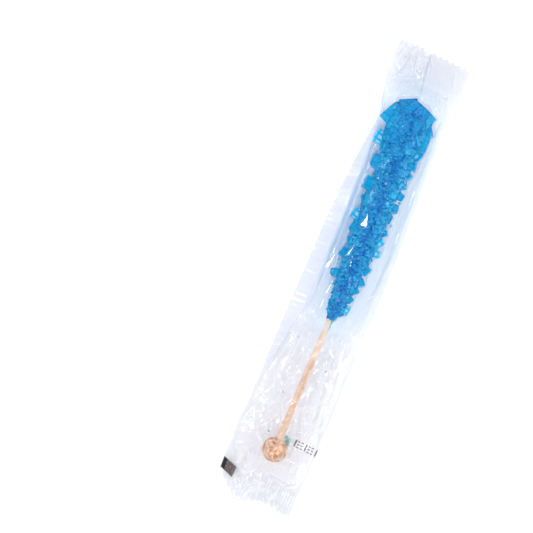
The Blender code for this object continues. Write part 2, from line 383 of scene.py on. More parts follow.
# Loose bits of sugar: place X, Y and Z and size.
CRUMBS = [
    (11.7, 39.9, 8.8, 0.4), (12.0, 29.4, 8.0, 0.8), (8.3, 10.4, 7.6, 0.4), (-4.3, 7.6, 7.0, 0.55),
    (-3.8, 5.6, 7.4, 0.4), (9.0, -41.0, 0.8, 0.35), (-8.0, -31.0, 0.9, 0.3),
]
TEAL_CRUMBS = [
    (3.4, -74.2, 1.4, 0.8), (4.6, -75.4, 1.2, 0.9), (4.0, -76.7, 1.2, 0.7), (5.0, -77.2, 1.1, 0.6),
    (5.4, -81.8, 5.6, 0.35), (5.1, -83.2, 5.4, 0.3), (-5.4, -56.0, 0.9, 0.35), (-5.0, -74.5, 0.9, 0.5),
]


def standing(seed, facts, roof, cut, roll=0.3):
    """Larger crystals, from a list of their places, turns and sizes."""
    rng = np.random.default_rng(seed)
    facts = np.array(facts)
    turn = np.radians(facts[:, 3])
    axis = np.stack([np.sin(turn), np.cos(turn), rng.uniform(-0.18, 0.18, len(facts))], 1)
    shape = crystal_points(rng, facts[:, [5, 6, 4]], roof, cut)
    centre = facts[:, :3].copy()
    centre[:, 2] += curve(CANDY_AXIS_HEIGHT, facts[:, 1])
    points = turned(shape, axis, rng.uniform(-roll, roll, len(facts))) + centre[:, None]
    points[:, :, 2] += np.maximum(0.35 - points[:, :, 2].min(1), 0.0)[:, None]
    return points, rng.uniform(0.3, 0.8, len(facts))


def loose_bits(seed, facts, flatness=0.75):
    """Small crystals at given places, each turned its own way."""
    rng = np.random.default_rng(seed)
    facts = np.array(facts)
    half = facts[:, 3:] * rng.uniform(0.6, 1.1, (len(facts), 3))
    shape = turned(crystal_points(rng, half), rng.normal(0.0, 1.0, (len(facts), 3)), rng.uniform(0, 6.3, len(facts)))
    shape[:, :, 2] *= flatness
    return shape + facts[:, None, :3], rng.uniform(0.0, 1.0, len(facts))


@functools.cache
def crystals():
    """All crystals by their kind, each kind as corners and a tone for each crystal."""
    return {
        "head": standing(43, HEAD_CRYSTALS, (0.9, 0.99), (0.01, 0.12), 0.08),
        "standing": standing(41, STANDING_CRYSTALS, (0.72, 0.95), (0.15, 0.5)),
        "window": standing(47, WINDOW_CRYSTALS, (0.75, 0.95), (0.1, 0.4)),
        "large": crust(11, 1.0, 1.3, (0.8, 1.01), (0.8, 1.4)),
        "small": crust(23, 0.52, 1.38, (0.82, 0.98), (0.8, 1.4)),
        "crumbs": loose_bits(5, CRUMBS),
        "teal": loose_bits(6, TEAL_CRUMBS),
    }


def facet_tone_and_shade(seed, points, window, own):
    """A tone for each face of the crystals, from 0 pale to 1 deep, in the order crystal_faces gives them: the
    crystal's own tone and painted shade by its depth in the crust, a little more at the lower end, with a play of
    its own for each facet that is weaker at the head and stronger at the lower end, and less for facets that lie
    flat by the share of window, which is painted light for the bright floor seen through them."""
    rng = np.random.default_rng(seed)
    sides, ends = crystal_faces(1)
    tones = []
    for group in (sides, ends):
        corners = points[:, group]
        across = np.cross(corners[:, :, 2] - corners[:, :, 0], corners[:, :, 3] - corners[:, :, 1])
        upright = np.abs(across[..., 2]) / (np.linalg.norm(across, axis=2) + 1e-9)
        deep = 0.24 * own[:, None] - 0.03 + painted_crust_shade(corners.mean(2))
        place = points[:, :1, 1]
        play = 0.28 - 0.16 * smooth_step((place - 56.0) / 14.0) + 0.14 * smooth_step((4.0 - place) / 14.0)
        # Painted shade by depth and at the lower end, and painted light on flat facets by the share of window.
        deep = deep + 0.12 * smooth_step((25.0 - place) / 30.0) + play * rng.uniform(-1.0, 1.0, deep.shape) + window * (0.35 - upright)
        tones.append(np.clip(deep, 0.0, 1.0).ravel())
    return np.concatenate(tones)


def painted_crust_shade(points):
    """Painted shade in the sugar: 0.35 halfway from its outline to its axis, for the shade deep in the crust, and 0.5
    more along its middle, where it is thickest and light goes through the most sugar, than from four fifths of the
    way to its sides."""
    middle, wide, height, tall = candy_outline(points[..., 1])
    aside = (points[..., 0] - middle) / wide
    share = np.hypot(aside, (points[..., 2] - height) / tall)
    return 0.35 * np.clip((1.0 - share) * 2.0, 0.0, 1.0) + 0.5 * (1.0 - smooth_step(1.25 * np.abs(aside)))


def core_points(rows=260, around=96):
    """The mass under the crystals: rings about the axis with the outline's radius less about one and a half
    crystals, uneven by a few sums of sines, closed to a point at each end."""
    place = np.linspace(CANDY_END + 0.6, CANDY_TIP - 2.2, rows)[:, None]
    angle = (2.0 * math.pi * np.arange(around) / around)[None, :]
    middle, wide, height, tall = candy_outline(place)
    lump = 0.5 * np.sin(3 * angle + place * 0.31) + 0.4 * np.sin(5 * angle - place * 0.53) * np.sin(place * 0.9)
    lump = lump + 0.3 * np.sin(7 * angle + place * 1.1)
    inset = curve(CRYSTAL_SIZE, place) * (1.6 - 0.3 * lump) + 0.3
    close = np.sqrt(np.clip(np.minimum(place - place[0], place[-1] - place) / 2.5, 0.02, 1.0))
    across, up = np.maximum(wide - inset, 0.8) * close, np.maximum(tall - inset, 0.8) * close
    return np.stack(np.broadcast_arrays(
        middle + across * np.cos(angle), place, height + up * np.sin(angle)), -1)


# ---------------------------------------------------------------- film

ROWS, COLUMNS = 601, 145
PLACES = np.linspace(BALL_END, TIP_END, ROWS)
ACROSS = np.linspace(-1.0, 1.0, COLUMNS)
SHEET_GAP = 0.07
# How strongly the film is creased along the pack: in the tube, and in the flat seals.
LOOSENESS = [
    (BALL_END, 0.3), (-97.0, 0.7), (-86.0, 1.15), (-60.0, 1.25), (-28.0, 1.15), (-12.0, 0.6), (8.0, 0.3),
    (62.0, 0.28), (76.0, 0.5), (86.0, 1.0), (96.0, 0.5), (TIP_END, 0.25),
]
# Long folds of the front film: from (Y, X) to (Y, X), half width on the left and right, and height.
LONG_FOLDS = [
    (-18.0, 9.5, -74.0, 14.2, 1.6, 0.7, 1.1), (-24.0, 13.2, -62.0, 16.6, 0.8, 1.5, 0.8),
    (-30.0, 6.0, -70.0, 9.5, 2.0, 0.8, 0.8), (16.0, -7.6, -8.0, -7.2, 0.7, 1.5, 0.9),
    (24.0, 0.6, 6.0, -1.4, 0.5, 1.1, 0.6), (31.5, 0.6, 22.0, 1.2, 1.6, 1.4, 0.55),
    (6.0, -4.6, -38.0, -4.8, 0.6, 1.4, 0.9), (-22.0, -6.5, -64.0, -9.5, 1.0, 2.2, 1.0),
    (-26.0, -10.0, -58.0, -14.6, 1.4, 1.1, 0.9), (60.0, 14.6, 10.0, 15.8, 2.2, 0.8, 0.5),
    (84.0, 15.2, 70.0, 15.9, 1.2, 0.7, 0.8), (90.0, -6.0, 78.0, -8.6, 1.2, 0.8, 0.8),
    (-52.0, -2.5, -75.0, -7.5, 0.9, 1.8, 1.0), (-50.0, 4.0, -76.0, 8.8, 1.6, 0.9, 1.0),
    (-84.0, -8.0, -97.0, -13.0, 1.4, 1.0, 1.0), (-86.0, 7.5, -99.0, 10.0, 1.2, 1.4, 0.9),
]


# How far the ball's end is drawn in, by the share across from -1 to 1.
BALL_END_RISE = [
    (-1.0, 9.6), (-0.77, 5.0), (-0.56, 1.6), (-0.42, -2.0), (-0.3, -1.4), (0.0, 0.8), (0.33, 1.6), (0.6, 0.4),
    (0.85, -0.8), (1.0, -0.2),
]
# Flat facets of the front film that show a soft box to the camera: three corners as X and Y, and the box.
GLINTS = [
    ((0.2, 30.6), (-1.3, 24.0), (1.9, 24.2), "left_box"), ((0.4, 18.6), (-2.6, 9.2), (-1.0, 10.6), "left_box"),
    ((-0.2, 14.2), (0.9, 6.0), (1.6, 6.1), "left_box"), ((-5.8, 12.6), (-9.1, 1.6), (-7.4, 2.0), "left_box"),
    ((-2.8, 3.0), (-4.6, -9.0), (-3.7, -9.0), "left_box"), ((-3.8, -7.0), (-4.9, -16.0), (-4.1, -15.0), "left_box"),
    ((-0.8, 55.2), (0.0, 54.2), (0.3, 55.0), "left_box"), ((16.0, -26.0), (13.2, -38.0), (14.2, -38.6), "right_box"),
    ((17.4, -0.4), (13.8, -3.4), (14.4, -4.0), "right_box"), ((-8.8, 33.0), (-9.3, 24.0), (-8.9, 24.0), "left_box"),
    ((-13.9, 95.7), (-8.8, 95.2), (-9.8, 93.7), "head_box"), ((-7.3, 93.7), (-10.1, 90.7), (-8.3, 91.2), "left_box"),
    ((-9.9, 90.2), (-12.2, 87.8), (-10.6, 88.1), "left_box"), ((-2.8, 95.6), (0.6, 95.2), (-0.8, 93.4), "head_box"),
    ((14.9, 93.2), (11.5, 90.6), (13.8, 90.9), "head_box"),
]


# Folds pressed into the flat seals, written in the same way.
SEAL_FOLDS = [
    (105.8, -13.4, 102.8, -7.4, 0.35, 0.6, 1.2), (96.8, -12.6, 95.4, -8.2, 0.6, 0.4, 0.9),
    (103.6, -4.6, 97.4, -2.2, 0.5, 0.8, 0.5), (100.0, -8.6, 96.4, -4.6, 0.5, 0.5, 0.6),
    (94.0, -4.6, 88.6, -7.8, 0.5, 0.7, 0.8), (93.4, 1.0, 88.0, -2.0, 0.7, 0.5, 0.6),
    (106.0, 1.0, 94.6, 2.2, 0.45, 0.7, 0.6), (104.0, 13.6, 95.0, 15.4, 0.5, 1.0, 0.4),
    (92.0, 9.0, 85.0, 12.0, 0.5, 0.9, 0.9), (93.0, 14.0, 84.0, 15.6, 0.6, 0.8, 0.9),
    (-97.0, -11.0, -105.0, -4.0, 0.6, 0.9, 0.7), (-95.0, -2.0, -106.0, 0.6, 0.5, 0.8, 0.6),
    (-96.0, 9.0, -105.0, 5.0, 0.7, 0.6, 0.6), (-98.0, 13.0, -104.0, 16.0, 0.5, 0.8, 0.5),
]


def sealed_share(place):
    """1 in the flat seal at either end, 0 in the tube between, easing over the gathered film."""
    into_tip = (place - CANDY_TIP) / (TIP_SEAL_EDGE - CANDY_TIP)
    shoulder = BALL_PLACE - BALL_RADIUS
    into_ball = (shoulder - place) / (shoulder - BALL_SEAL_EDGE)
    return smooth_step(np.maximum(into_tip, into_ball))


def folds(place, side, lines):
    """Relief of straight folds: on each line a tent whose flanks fall evenly over its two half widths, and
    whose height rises from nothing at both ends as 4 t (1 - t)."""
    relief = np.zeros(np.broadcast(place, side).shape)
    for y0, x0, y1, x1, left, right, height in lines:
        dy, dx = y1 - y0, x1 - x0
        length = math.hypot(dy, dx)
        t = ((place - y0) * dy + (side - x0) * dx) / length ** 2
        away = ((side - x0) * dy - (place - y0) * dx) / length * math.copysign(1.0, dy)
        flank = 1.0 - np.where(away < 0.0, -away / left, away / right)
        relief += height * np.clip(4.0 * t * (1.0 - t), 0.0, None) * np.clip(flank, 0.0, None)
    return relief


def crumples(seed, count, places, sides, heights):
    """Random short folds in a field of the film, written as the long ones are."""
    rng = np.random.default_rng(seed)
    lines = []
    for _ in range(count):
        y, x, turn = rng.uniform(*places), rng.uniform(*sides), rng.uniform(0.0, 2.0 * math.pi)
        reach = rng.uniform(4.0, 12.0)
        lines.append((y, x, y + reach * math.cos(turn), x + 0.7 * reach * math.sin(turn),
                      rng.uniform(0.4, 1.2), rng.uniform(0.4, 1.2), rng.uniform(*heights)))
    return lines


def gathers(seed, count, seal_edge, into_tube):
    """Random folds that run from a seal's inner edge into the tube and spread or close up as they go."""
    rng = np.random.default_rng(seed)
    lines = []
    for side in np.linspace(-15.0, 17.0, count) + rng.uniform(-1.0, 1.0, count):
        reach = rng.uniform(7.0, 20.0)
        start = seal_edge - into_tube * rng.uniform(0.0, 3.0)
        lines.append((start, side, start + into_tube * reach, side * rng.uniform(0.55, 0.95),
                      rng.uniform(0.5, 1.3), rng.uniform(0.5, 1.3), rng.uniform(0.3, 0.9)))
    return lines


@functools.cache
def film_sheets():
    """Front and back film as two grids of points.

    The tube's front is its edge height plus the rise to the ridge times (1 - s^2)^p, where s is the share of
    the way from the ridge to the side and p how pointed the film is there. Its back lies on the floor and
    turns up to the edges. Both ease into one thin flat sheet at each seal. Creases, folds and gathers are
    added to each, and the front is lifted wherever a crystal would touch it."""
    place, across = PLACES[:, None], ACROSS[None, :]
    left, right = curve(LEFT_EDGE, place), curve(RIGHT_EDGE, place)
    left = left + 0.22 * np.sin(place * 0.41) * np.sin(place * 0.13 + 1.0)
    right = right + 0.25 * np.sin(place * 0.37 + 2.0) * np.sin(place * 0.11)
    side = left + (right - left) * (across + 1.0) / 2
    peak = 2.0 * (curve(RIDGE_PLACE, place) - left) / (right - left) - 1.0
    off = np.clip(np.abs(across - peak) / np.where(across > peak, 1.0 - peak, 1.0 + peak), 0.0, 1.0)
    edge, ridge = curve(EDGE_HEIGHT, place), curve(RIDGE_HEIGHT, place)
    bell = (1.0 - off * off) ** curve(POINTEDNESS, place)
    curl = edge + 0.25 * (ridge - edge) * (1.0 - across * across)
    share = sealed_share(place)
    # Creases are worked out on the flat sheet, as wide as the pack.
    flat = ACROSS * 18.0
    inner = 1.0 - np.abs(across) ** 6
    loose = curve(LOOSENESS, place) * inner
    broad = creased(3, PLACES, flat, 11.0, 5.5)
    fine = creased(7, PLACES, flat, 4.2, 2.3)
    other = creased(13, PLACES, flat, 9.0, 6.5)
    tiny = creased(17, PLACES, flat, 2.1, 1.3)
    crushed = creased(19, PLACES, flat, 3.0, 3.4)
    lines = gathers(29, 13, TIP_SEAL_EDGE, -1.0) + gathers(31, 15, BALL_SEAL_EDGE, 1.0)
    lines += crumples(37, 60, (-94.0, -46.0), (-16.0, 17.0), (0.3, 0.9))
    pressed = SEAL_FOLDS + crumples(41, 40, (-107.0, -88.0), (-18.0, 17.0), (0.2, 0.7))
    pressed = pressed + crumples(43, 30, (86.0, 106.0), (-14.0, 1.0), (0.3, 0.7))
    front_relief = loose * (0.85 * broad + 0.5 * fine + 0.32 * tiny)
    front_relief += inner * folds(place, side, LONG_FOLDS) + inner * folds(place, side, lines)
    back_relief = loose * (0.7 * other + 0.3 * fine[:, ::-1])
    crumpled = np.where(place < 0.0, 1.3, 0.12 + 1.7 * smooth_step((0.1 - across) / 0.25))
    both_relief = (0.2 * broad + 0.5 * crushed + 0.14 * tiny) * crumpled * inner
    both_relief += inner * folds(place, side, pressed)
    rib_band = smooth_step((np.abs(place) - (TIP_END - SEAL_LENGTH + 2.0)) / 1.0)
    ribs = (0.05 + 0.06 * (place < 0.0) * smooth_step((across - 0.2) / 0.2)) * rib_band
    ribs = ribs * np.cos(2.0 * math.pi * side / 1.3)
    front = edge + (ridge - edge) * bell
    back = edge * smooth_step((off - 0.5) / 0.5) + np.abs(back_relief) * smooth_step(off * 2.2 - 0.6)
    front = lifted(front, side, left, right) + front_relief * (1.0 - np.exp(-((1.0 - np.abs(across)) * 9.0)))
    middle = curl + both_relief + ribs
    front = front * (1.0 - share) + (middle + SHEET_GAP) * share
    back = np.maximum(back * (1.0 - share) + (middle - SHEET_GAP) * share, 0.08)
    back = np.minimum(back, front - 0.02)
    front, shining = glinting(front, side, place)
    # Painted shade on the creases: 0.4 of it in the tube and all of it in the seals.
    crease_shade = 0.4 * crease_shading(front_relief) * (1.0 - share) + crease_shading(both_relief + ribs) * share
    moved = squared_off(place, across)
    return {"front": np.stack(np.broadcast_arrays(side, moved, front), -1),
            "back": np.stack(np.broadcast_arrays(side, moved, back), -1),
            "shining": shining, "over_sugar": over_sugar(left, right), "crease_shade": crease_shade}


def glinting(front, side, place):
    """The front film with each glint laid as a plane, as low as it can lie without cutting the film, and 1 at
    the points of glints. Such a plane stands square to the sum of the unit vectors to camera and box."""
    shining = np.zeros(front.shape)
    for a, b, c, box in GLINTS:
        area = (b[1] - c[1]) * (a[0] - c[0]) + (c[0] - b[0]) * (a[1] - c[1])
        u = ((b[1] - c[1]) * (side - c[0]) + (c[0] - b[0]) * (place - c[1])) / area
        v = ((c[1] - a[1]) * (side - c[0]) + (a[0] - c[0]) * (place - c[1])) / area
        inside = (u >= 0.0) & (v >= 0.0) & (u + v <= 1.0)
        middle = Vector(((a[0] + b[0] + c[0]) / 3, (a[1] + b[1] + c[1]) / 3, 12.0)) * MM
        square = (camera_place(LEAN) - middle).normalized() + (Vector(SOFT_BOXES[box][0]) - middle).normalized()
        plane = -(square.x * (side - middle.x / MM) + square.y * (place - middle.y / MM)) / square.z
        if inside.any():
            front = np.where(inside, plane + (front - plane)[inside].max(), front)
        shining[inside] = 1.0
    return front, shining


def sugar_cells(left, right, filled=False):
    """Corners of the crystals, and the row and column of the film's grid that each lies at. Filled adds nine
    points on the way from each corner to its crystal's other corners, or to its middle in the crust."""
    points = []
    for kind in ("head", "standing", "window", "large", "small"):
        solids = crystals()[kind][0]
        points.append(solids)
        ends = solids.mean(1, keepdims=True) if kind in ("large", "small") else solids
        for share in np.linspace(0.1, 0.9, 9) if filled else ():
            points.append(solids[:, :, None] * (1.0 - share) + ends[:, None] * share)
    points = np.concatenate([group.reshape(-1, 3) for group in points])
    row = np.clip(np.rint((points[:, 1] - BALL_END) / (TIP_END - BALL_END) * (ROWS - 1)).astype(int), 0, ROWS - 1)
    share = (points[:, 0] - left[row, 0]) / (right[row, 0] - left[row, 0])
    return points, row, np.clip(np.rint(share * (COLUMNS - 1)).astype(int), 1, COLUMNS - 2)


def over_sugar(left, right):
    """1 where the film lies over sugar and 0 beside it: points in and on the crystals spread by four steps,
    to close the gaps between them, and drawn back by three."""
    _, row, column = sugar_cells(left, right, True)
    covered = np.zeros((ROWS, COLUMNS))
    covered[row, column] = 1.0
    return -max_around(-max_around(covered, 4), 3)


def crease_shading(relief):
    """Painted shade on creased film: from 0 below a slope of 0.05 to 1 at 0.45, times a share that goes from 0.2 on
    flanks that face one way to 1 on those that face the other, so facets are painted darker by the way they face."""
    along, across = np.gradient(relief, PLACES, ACROSS * 18.0)
    crease_shade = smooth_step((np.hypot(along, across) - 0.05) / 0.4)
    return crease_shade * (0.6 + 0.4 * np.tanh(5.0 * (across - along)))


def lifted(front, side, left, right):
    """The front film raised clear of the sugar. Across each row the film spans the crystal corners as a taut
    string does: each height is lifted to the mean of its neighbours k columns away, for falling k. Along the
    pack it then takes the highest row nearby, smoothed by running means."""
    corners, row, column = sugar_cells(left, right)
    top = np.tile(front[:, :1], (1, COLUMNS))
    np.maximum.at(top, (row, column), corners[:, 2] + 0.3)
    top = max_around(top, 2)
    rows = np.arange(ROWS)
    top = np.max([top[np.clip(rows + k, 0, ROWS - 1)] for k in range(-18, 19, 2)], 0)
    for _ in range(4):
        for k in (40, 24, 14, 8, 5, 3, 2, 1):
            before = np.concatenate([np.tile(top[:, :1], (1, k)), top[:, :-k]], 1)
            after = np.concatenate([top[:, k:], np.tile(top[:, -1:], (1, k))], 1)
            top = np.maximum(top, (before + after) / 2)
    for _ in range(3):
        top = np.mean([top[np.clip(rows + k, 0, ROWS - 1)] for k in range(-6, 7)], 0)
    for _ in range(2):
        padded = np.pad(top, [(0, 0), (3, 3)], mode="edge")
        top = np.mean([padded[:, k:k + COLUMNS] for k in range(7)], 0)
    return np.maximum(front, top)


def squared_off(place, across):
    """Y of the film at a place and a share across: the end by the ball is drawn in by its own curve, the other
    end runs off at a slant, from 1.9 over its place on the left to 1 under it on the right, and over each seal the film closes up so that its last row has saw teeth."""
    ball_share = smooth_step(1.0 - (place - BALL_END) / 42.0)
    rise = curve(BALL_END_RISE, across)
    tip_share = smooth_step(1.0 - (TIP_END - place) / 42.0)
    phase = (1.0 + across) / 2 * TOOTH_COUNT % 1.0
    tooth = 1.3 * (1.0 - np.abs(2.0 * phase - 1.0))
    tip_part = np.clip((place - (TIP_END - 2.0)) / 2.0, 0.0, 1.0)
    ball_part = np.clip((BALL_END + 2.0 - place) / 2.0, 0.0, 1.0)
    return (place + rise * ball_share + tip_share * (1.9 - 1.45 * (1.0 + across))
            - tooth * tip_part + tooth * ball_part)


def on_film(sheet, place, across):
    """Points of a film sheet at places along it and shares across, read between its grid's points."""
    points = film_sheets()[sheet]
    i = np.clip((place - BALL_END) / (TIP_END - BALL_END) * (ROWS - 1), 0, ROWS - 1.001)
    j = np.clip((across + 1.0) / 2 * (COLUMNS - 1), 0, COLUMNS - 1.001)
    i0, j0 = i.astype(int), j.astype(int)
    u, v = (i - i0)[..., None], (j - j0)[..., None]
    near = points[i0, j0] * (1 - v) + points[i0, j0 + 1] * v
    far = points[i0 + 1, j0] * (1 - v) + points[i0 + 1, j0 + 1] * v
    return near * (1 - u) + far * u


def film_shares(x, y):
    """The place along the film and the share across it whose point lies at X and Y, by a few rounds."""
    place, across = y + 0.0 * x, 0.0 * (x + y)
    for _ in range(12):
        point = on_film("front", place, across)
        place = place + y - point[..., 1]
        across = np.clip(across + (x - point[..., 0]) / 18.0, -0.995, 0.995)
    return place, across


def fin_points(columns=25):
    """The lengthwise seal: from the tube's left edge out to its own free edge, pressed with cross bars, and
    rippled a little along its length."""
    place = PLACES[60:560]
    t = np.linspace(0.0, 1.0, columns)[None, :]
    root = film_sheets()["front"][60:560, 0]
    free = np.minimum(curve(FIN_EDGE, place), root[:, 0] - 0.25)
    width = (root[:, 0] - free)[:, None]
    bar = np.clip(np.cos(2.0 * math.pi * place / 2.7) * 2.2, -1.0, 1.0)[:, None]
    pressed = 0.06 * bar * smooth_step((t - 0.12) / 0.1) * smooth_step((0.95 - t) / 0.1)
    ripple = 0.35 * np.sin(place * 0.33)[:, None] * np.sin(place * 0.21 + 0.8)[:, None] * t
    droop = -0.35 * np.maximum(width - 0.5, 0.0) * t
    x = root[:, :1] - width * t
    z = np.maximum(root[:, 2:] - 0.02 + droop + (pressed + ripple) * np.minimum(width / 3.0, 1.0), 0.12)
    return np.stack([x, np.broadcast_to(root[:, 1:2], x.shape), z], -1)


def fold_points(rows=110, columns=9):
    """The narrow flap where the lengthwise seal crosses the far end seal: a strip along a line that leans to
    the right, its left side on the film and its right side standing up by a share of its width."""
    t, u = np.meshgrid(np.linspace(0.0, 1.0, rows), np.linspace(-0.5, 0.5, columns), indexing="ij")
    x = 0.95 + 1.6 * t + 0.3 * np.sin(t * 9.0) * t * (1.0 - t)
    width = 0.9 - 0.3 * t + 0.2 * np.sin(t * 23.0) * np.sin(t * 11.0)
    points = on_film("front", *film_shares(x + width * u, 106.2 - 17.6 * t))
    points[..., 2] += 0.08 + 0.22 * (u + 0.5) ** 1.5 * (0.7 + 0.3 * np.sin(t * 31.0))
    return points


def near_sugar(points, reach):
    """How near points lie to the sugar in the flat: exp of minus their distance over a reach."""
    x, y = points[..., 0], points[..., 1]
    beside = np.maximum(np.maximum(curve(CANDY_LEFT, y) - x, x - curve(CANDY_RIGHT, y)), 0.0)
    beyond = np.maximum(np.maximum(CANDY_END - y, y - CANDY_TIP), 0.0)
    return np.exp(-np.hypot(beside, beyond) / reach)


# ---------------------------------------------------------------- wood


def closed_tube(centres, radius):
    """Rings about centres, each in the plane square to Y with its points' radii, and the pole at each end."""
    angle = 2.0 * math.pi * np.arange(radius.shape[1]) / radius.shape[1]
    ring = np.stack([np.cos(angle), np.zeros(len(angle)), np.sin(angle)], 1)
    rings = centres[:, None] + radius[:, :, None] * ring[None]
    return np.concatenate([rings.reshape(-1, 3), centres[:1], centres[-1:]])


def tube_faces(rows, around):
    """Quads of the closed tube and the fans of triangles at its ends, all facing out."""
    j = np.arange(around)
    k = (j + 1) % around
    first = rows * around
    base = first - around
    return [grid_quads(rows, around, True)[:, ::-1],
            np.stack([j, k, np.full(around, first)], 1),
            np.stack([base + k, base + j, np.full(around, first + 1)], 1)]


def stick_points(diameter, rows=150, around=32):
    """The stick: a straight line from inside the ball into the sugar, with a slightly uneven radius."""
    place = np.linspace(BALL_PLACE + 4.4, CANDY_END + 9.0, rows)
    run = (place - BALL_PLACE) / (CANDY_END - BALL_PLACE)
    angle = 2.0 * math.pi * np.arange(around) / around
    uneven = 0.025 * np.sin(place * 0.7)[:, None] + 0.02 * np.sin(3 * angle[None, :] + 0.2 * place[:, None])
    centres = np.stack([0.3 + 1.6 * run, place, BALL_HEIGHT + 2.0 * run], 1)
    return closed_tube(centres, diameter / 2 + uneven)


def ball_points(diameter, rows=72, around=72):
    """The turned ball: at polar angle t a ring of radius R sin t, with lathe rings of cos 9 t and soft dents of
    products of sines, and a small flat where it was parted off."""
    turn = np.linspace(0.03, math.pi - 0.03, rows)[:, None]
    angle = (2.0 * math.pi * np.arange(around) / around)[None, :]
    dents = 0.012 * np.sin(3 * angle + 2 * turn) * np.sin(4 * turn) + 0.006 * np.sin(7 * angle - 5 * turn)
    radius = diameter / 2 * np.sin(turn) * (1.0 + 0.006 * np.cos(9 * turn) + dents)
    along = np.maximum(-np.cos(turn[:, 0]), -0.975) * diameter / 2
    centres = np.stack([np.full(rows, 0.3), BALL_PLACE + along, np.full(rows, BALL_HEIGHT)], 1)
    return closed_tube(centres, radius)


# ---------------------------------------------------------------- nodes


def add(tree, kind, values=None, **settings):
    """A new node with its settings and its sockets' values; a value that is a socket is linked."""
    made = tree.nodes.new(kind)
    for key, value in settings.items():
        setattr(made, key, value)
    for key, value in (values or {}).items():
        if isinstance(value, bpy.types.NodeSocket):
            tree.links.new(value, made.inputs[key])
        else:
            made.inputs[key].default_value = value
    return made


def new_material(name):
    """An empty node material and its tree."""
    material = bpy.data.materials.new(name)
    material.use_nodes = True
    material.node_tree.nodes.clear()
    return material, material.node_tree


def finish_material(tree, shader):
    """Links a shader to the material's output."""
    out = tree.nodes.new("ShaderNodeOutputMaterial")
    tree.links.new(shader, out.inputs["Surface"])


def ramp(tree, value, stops):
    """A colour ramp over (position, colour) stops."""
    made = add(tree, "ShaderNodeValToRGB", {"Fac": value})
    elements = made.color_ramp.elements
    while len(elements) < len(stops):
        elements.new(0.5)
    for element, (position, colour) in zip(elements, stops):
        element.position = position
        element.color = (*colour[:3], 1.0)
    return made.outputs["Color"]


def sum_of(tree, operation, a, b, clamp=False):
    """One sum on two values or sockets."""
    return add(tree, "ShaderNodeMath", {0: a, 1: b}, operation=operation, use_clamp=clamp).outputs[0]


def blend(tree, share, first, second):
    """A colour between two, by a share."""
    return add(tree, "ShaderNodeMix", {0: share, 6: first, 7: second}, data_type="RGBA").outputs[2]


def object_place(tree, stretch=(1.0, 1.0, 1.0)):
    """Object coordinates, scaled along each axis."""
    place = add(tree, "ShaderNodeTexCoord").outputs["Object"]
    return add(tree, "ShaderNodeMapping", {"Vector": place, "Scale": stretch}).outputs["Vector"]


def group_of(name, inputs, outputs):
    """A new shader node group with named float inputs and (name, kind) outputs, and its two end nodes."""
    group = bpy.data.node_groups.new(name, "ShaderNodeTree")
    for label, default in inputs:
        socket = group.interface.new_socket(label, in_out="INPUT", socket_type="NodeSocketFloat")
        socket.default_value = default
    for label, kind in outputs:
        group.interface.new_socket(label, in_out="OUTPUT", socket_type=kind)
    return group, group.nodes.new("NodeGroupInput").outputs, group.nodes.new("NodeGroupOutput").inputs


def mottle_group():
    """Soft blotches and fine grains on Object coordinates: Mottle from 0 to 1, and the Normal they make."""
    name = "fine_mottle"
    if name in bpy.data.node_groups:
        return bpy.data.node_groups[name]
    group, given, out = group_of(name, [("Scale", 600.0), ("Grain", 2500.0), ("Depth", 0.1)],
                                 [("Mottle", "NodeSocketFloat"), ("Normal", "NodeSocketVector")])
    place = object_place(group)
    broad = add(group, "ShaderNodeTexNoise", {"Vector": place, "Scale": given["Scale"], "Detail": 2.0})
    grain = add(group, "ShaderNodeTexNoise", {"Vector": place, "Scale": given["Grain"], "Detail": 1.0})
    both = sum_of(group, "ADD", sum_of(group, "MULTIPLY", broad.outputs["Fac"], 0.7),
                  sum_of(group, "MULTIPLY", grain.outputs["Fac"], 0.3))
    bump = add(group, "ShaderNodeBump", {"Strength": given["Depth"], "Distance": 0.0003, "Height": both})
    group.links.new(both, out["Mottle"])
    group.links.new(bump.outputs["Normal"], out["Normal"])
    return group


def crinkle_group():
    """Handled film on Object coordinates: Height of soft ripples, of cells with ridges between them and of
    smaller cells in them, all times Looseness."""
    name = "film_crinkle"
    if name in bpy.data.node_groups:
        return bpy.data.node_groups[name]
    group, given, out = group_of(name, [("Looseness", 1.0)], [("Height", "NodeSocketFloat")])
    place = object_place(group, (1.0, 0.6, 1.0))
    cells = add(group, "ShaderNodeTexVoronoi", {"Vector": place, "Scale": 380.0}).outputs["Distance"]
    small = add(group, "ShaderNodeTexVoronoi", {"Vector": place, "Scale": 900.0}).outputs["Distance"]
    ripple = add(group, "ShaderNodeTexNoise", {"Vector": place, "Scale": 160.0, "Detail": 2.0}).outputs["Fac"]
    height = sum_of(group, "ADD", sum_of(group, "MULTIPLY", cells, 0.6), ripple)
    height = sum_of(group, "ADD", height, sum_of(group, "MULTIPLY", small, 0.3))
    group.links.new(sum_of(group, "MULTIPLY", height, given["Looseness"]), out["Height"])
    return group


def use_group(tree, group, **values):
    """A group's node in a material, with its own values."""
    made = tree.nodes.new("ShaderNodeGroup")
    made.node_tree = group
    for label, value in values.items():
        if isinstance(value, bpy.types.NodeSocket):
            tree.links.new(value, made.inputs[label])
        else:
            made.inputs[label].default_value = value
    return made.outputs


def attribute(tree, name):
    """A named value of the piece's own points or faces."""
    return add(tree, "ShaderNodeAttribute", attribute_name=name).outputs["Fac"]


# ---------------------------------------------------------------- materials


